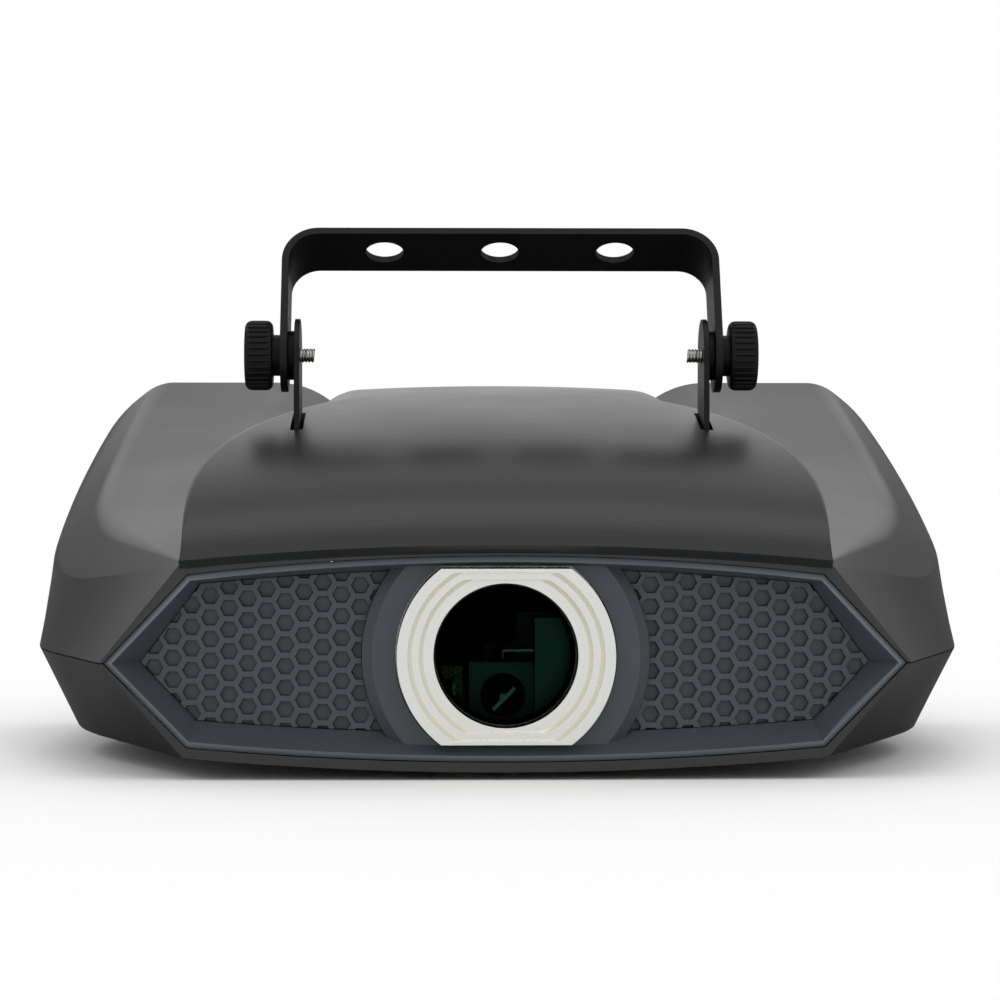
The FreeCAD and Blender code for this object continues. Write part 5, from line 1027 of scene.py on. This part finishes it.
shank = add(driven, "GeometryNodeTransform", {"Geometry": shank, "Translation": lowered})
screw = add(driven, "GeometryNodeJoinGeometry", {"Geometry": [head, shank]})
turn = add(driven, "ShaderNodeCombineXYZ", {"X": sizes["Turn"]})
screws = add(driven, "GeometryNodeInstanceOnPoints", {"Points": sizes["Geometry"], "Instance": screw,
                                                      "Rotation": turn})
close_tree(driven, sizes, screws)


def lumps(node):
    """Low and high corners of each separate lump of a node."""
    form = merged(frame["nodes"][node].data)
    waiting = set(form.verts)
    boxes = []
    while waiting:
        lump = [waiting.pop()]
        for vert in lump:
            near = {edge.other_vert(vert) for edge in vert.link_edges} & waiting
            waiting -= near
            lump.extend(near)
        places = [vert.co for vert in lump]
        boxes.append(tuple(Vector(pick(place[axis] for place in places) for axis in range(3)) for pick in (min, max)))
    form.free()
    return boxes


def head_tops(node, axis, end):
    """Mesh whose points are the tops of a node's screw heads, at the low or the high end of an axis."""
    tops = []
    for box in lumps(node):
        top = (box[0] + box[1]) / 2
        top[axis] = box[end][axis]
        tops.append(top)
    mesh = bpy.data.meshes.new(node)
    mesh.from_pydata(tops, [], [])
    return mesh


for node, axis, end, turn in (("panel_screws", 1, 1, -90), ("case_screws", 2, 0, 180)):
    box = lumps(node)[0]
    wide = (box[1].x - box[0].x) / 2
    length = box[1][axis] - box[0][axis] - HEAD_HEIGHT
    screws = grown(f"cross_{node}", driven, head_tops(node, axis, end), OXIDE_STEEL, Head_Radius=wide,
                   Head_Height=HEAD_HEIGHT, Shank_Radius=wide / 2, Shank_Length=length, Turn=math.radians(turn),
                   Recess_Width=RECESS_WIDTH)
    stand_for(smoothed(cleaned(screws), DOME_DEGREES), node)

# %% [markdown]
# ## Rear fittings
# The sockets, switches, buttons and the fan are small mouldings with softly broken edges. The pins in the
# sockets are metal, so the faces that lie inside a pin's place get plated metal.

# %% Fittings
FITTINGS = {0.3: ("mains_inlet", "switch_body", "signal_in", "signal_out", "remote_socket", "power_rocker",
                  "display_window", "fan_frame"),
            0.2: ("key_switch_body", "key_barrel", "menu_button", "down_button", "up_button", "enter_button"),
            0.15: ("fan_rotor",), 0.5: ("rubber_feet",), 0.1: ("safety_eye",)}
for edge_mm, members in FITTINGS.items():
    for node in members:
        finished[node] = rounded(node, edge_mm)
PIN_REACH, PIN_SIDE_SHARE = 3.2 * MM, 0.95
PIN_ROOMS = {"mains_inlet": (8.4, 5), "signal_in": (6.2, 6.2)}


def in_socket(node, width, height):
    """Test for the side faces that lie deep near the middle of a socket, where its pins are."""
    low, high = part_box(node)
    middle = (low + high) / 2

    def inside(face, mesh):
        near = abs(face.center.x - middle.x) < width and abs(face.center.z - middle.z) < height
        return near and PIN_REACH < high.y - face.center.y and abs(face.normal.y) < PIN_SIDE_SHARE
    return inside


for node, (width, height) in PIN_ROOMS.items():
    print(node, "pin faces:", repaint(finished[node], NICKEL, in_socket(node, width * MM, height * MM)))

# %% [markdown]
# ## Studio
# The picture was taken in a white light tent, so the background is white and the satin housing mirrors white
# from all round: its greys are that white seen at different angles. The world gives the white, a broad lamp
# above the front adds a direction, and the pale floor keeps the shadow. White all round would make every
# facet the same grey, so grey cards stand behind the sides and lie on the floor, as a photographer sets them
# to draw the edges of a glossy thing. Only mirrored light meets them: the picture and the shadow do not.

# %% World, floor and lamp
WORLD_LEVEL = 0.875
LAMP_LEVEL = 0.45
LAMP_HEIGHT_DEGREES = 62
LAMP_SPREAD_DEGREES = 50
FLOOR_HALF = 60.0
CARD_REACH, CARD_NEAR, CARD_HEIGHT, CARD_START, CARD_LIFT = 3.5, 0.6, 0.95, -0.09, 0.0003


def white_to_the_eye(tree, strength):
    """Strength of a light that camera, mirror and glass rays see as plain white."""
    path = add(tree, "ShaderNodeLightPath").outputs
    eye = add(tree, "ShaderNodeMath", {0: path["Is Camera Ray"], 1: path["Is Glossy Ray"]}, operation="MAXIMUM")
    seen = add(tree, "ShaderNodeMath", {0: eye, 1: path["Is Transmission Ray"]}, operation="MAXIMUM")
    return add(tree, "ShaderNodeMapRange", {"Value": seen, "To Min": strength, "To Max": 1.0})


world = bpy.data.worlds.new("white_tent")
world.use_nodes = True
world.node_tree.nodes.clear()
strength = white_to_the_eye(world.node_tree, WORLD_LEVEL)
sky = add(world.node_tree, "ShaderNodeBackground", {"Color": (1, 1, 1, 1), "Strength": strength})
add(world.node_tree, "ShaderNodeOutputWorld", {"Surface": sky})
bpy.context.scene.world = world


def flat_piece(name, finish, colour, corners):
    """Matt piece of four-cornered faces, each given by four corners in turn."""
    material = surfaced(new_material(finish)[0], Base_Color=linear(colour), Roughness=0.9, Specular_IOR_Level=0.0)
    mesh = bpy.data.meshes.new(name)
    mesh.from_pydata(corners, [], [range(start, start + 4) for start in range(0, len(corners), 4)])
    return new_piece(name, mesh, material)


SQUARE = ((-1, -1), (1, -1), (1, 1), (-1, 1))
floor = flat_piece("floor", "pale_floor", "ffffff", [(x * FLOOR_HALF, y * FLOOR_HALF, 0) for x, y in SQUARE])

card_corners = []
for side in (-1, 1):
    foot = [(side * CARD_NEAR, CARD_REACH), (side * CARD_REACH, -CARD_NEAR)]
    card_corners += [(*place, 0) for place in foot] + [(*place, CARD_HEIGHT) for place in reversed(foot)]
card_corners += [(x * CARD_REACH, CARD_REACH if y > 0 else CARD_START, CARD_LIFT) for x, y in SQUARE]
cards = flat_piece("grey_cards", "grey_card", "828282", card_corners)
for ray in ("camera", "diffuse", "shadow", "transmission"):
    setattr(cards, f"visible_{ray}", False)

lamp_data = bpy.data.lights.new("broad_lamp", "SUN")
lamp_data.energy = LAMP_LEVEL
lamp_data.angle = math.radians(LAMP_SPREAD_DEGREES)
lamp = bpy.data.objects.new("broad_lamp", lamp_data)
lamp.rotation_euler = (math.radians(90 - LAMP_HEIGHT_DEGREES), 0, 0)
collection.objects.link(lamp)
print("lamp:", lamp_data.energy, "W per square metre")

# %% [markdown]
# ## Camera
# The picture was taken from the front, a little to the left and a little above the beam axis, with a long
# lens. The lens and the distance were worked out from the way the rear of the housing narrows.

# %% Camera
LENS, SENSOR_WIDTH = 108.1, 36.0
EYE = Vector((-20.0, -857.5, 76.5)) * MM
YAW_DEGREES = 1.374
DIP_DEGREES = 0.374
camera_data = bpy.data.cameras.new("camera")
camera_data.lens = LENS
camera_data.sensor_width = SENSOR_WIDTH
camera = bpy.data.objects.new("camera", camera_data)
camera.location = EYE
camera.rotation_euler = (math.radians(90 - DIP_DEGREES), 0, math.radians(-YAW_DEGREES))
collection.objects.link(camera)
bpy.context.scene.camera = camera
bpy.context.scene.view_settings.view_transform = "Standard"
print("camera at", tuple(round(v, 4) for v in camera.location))
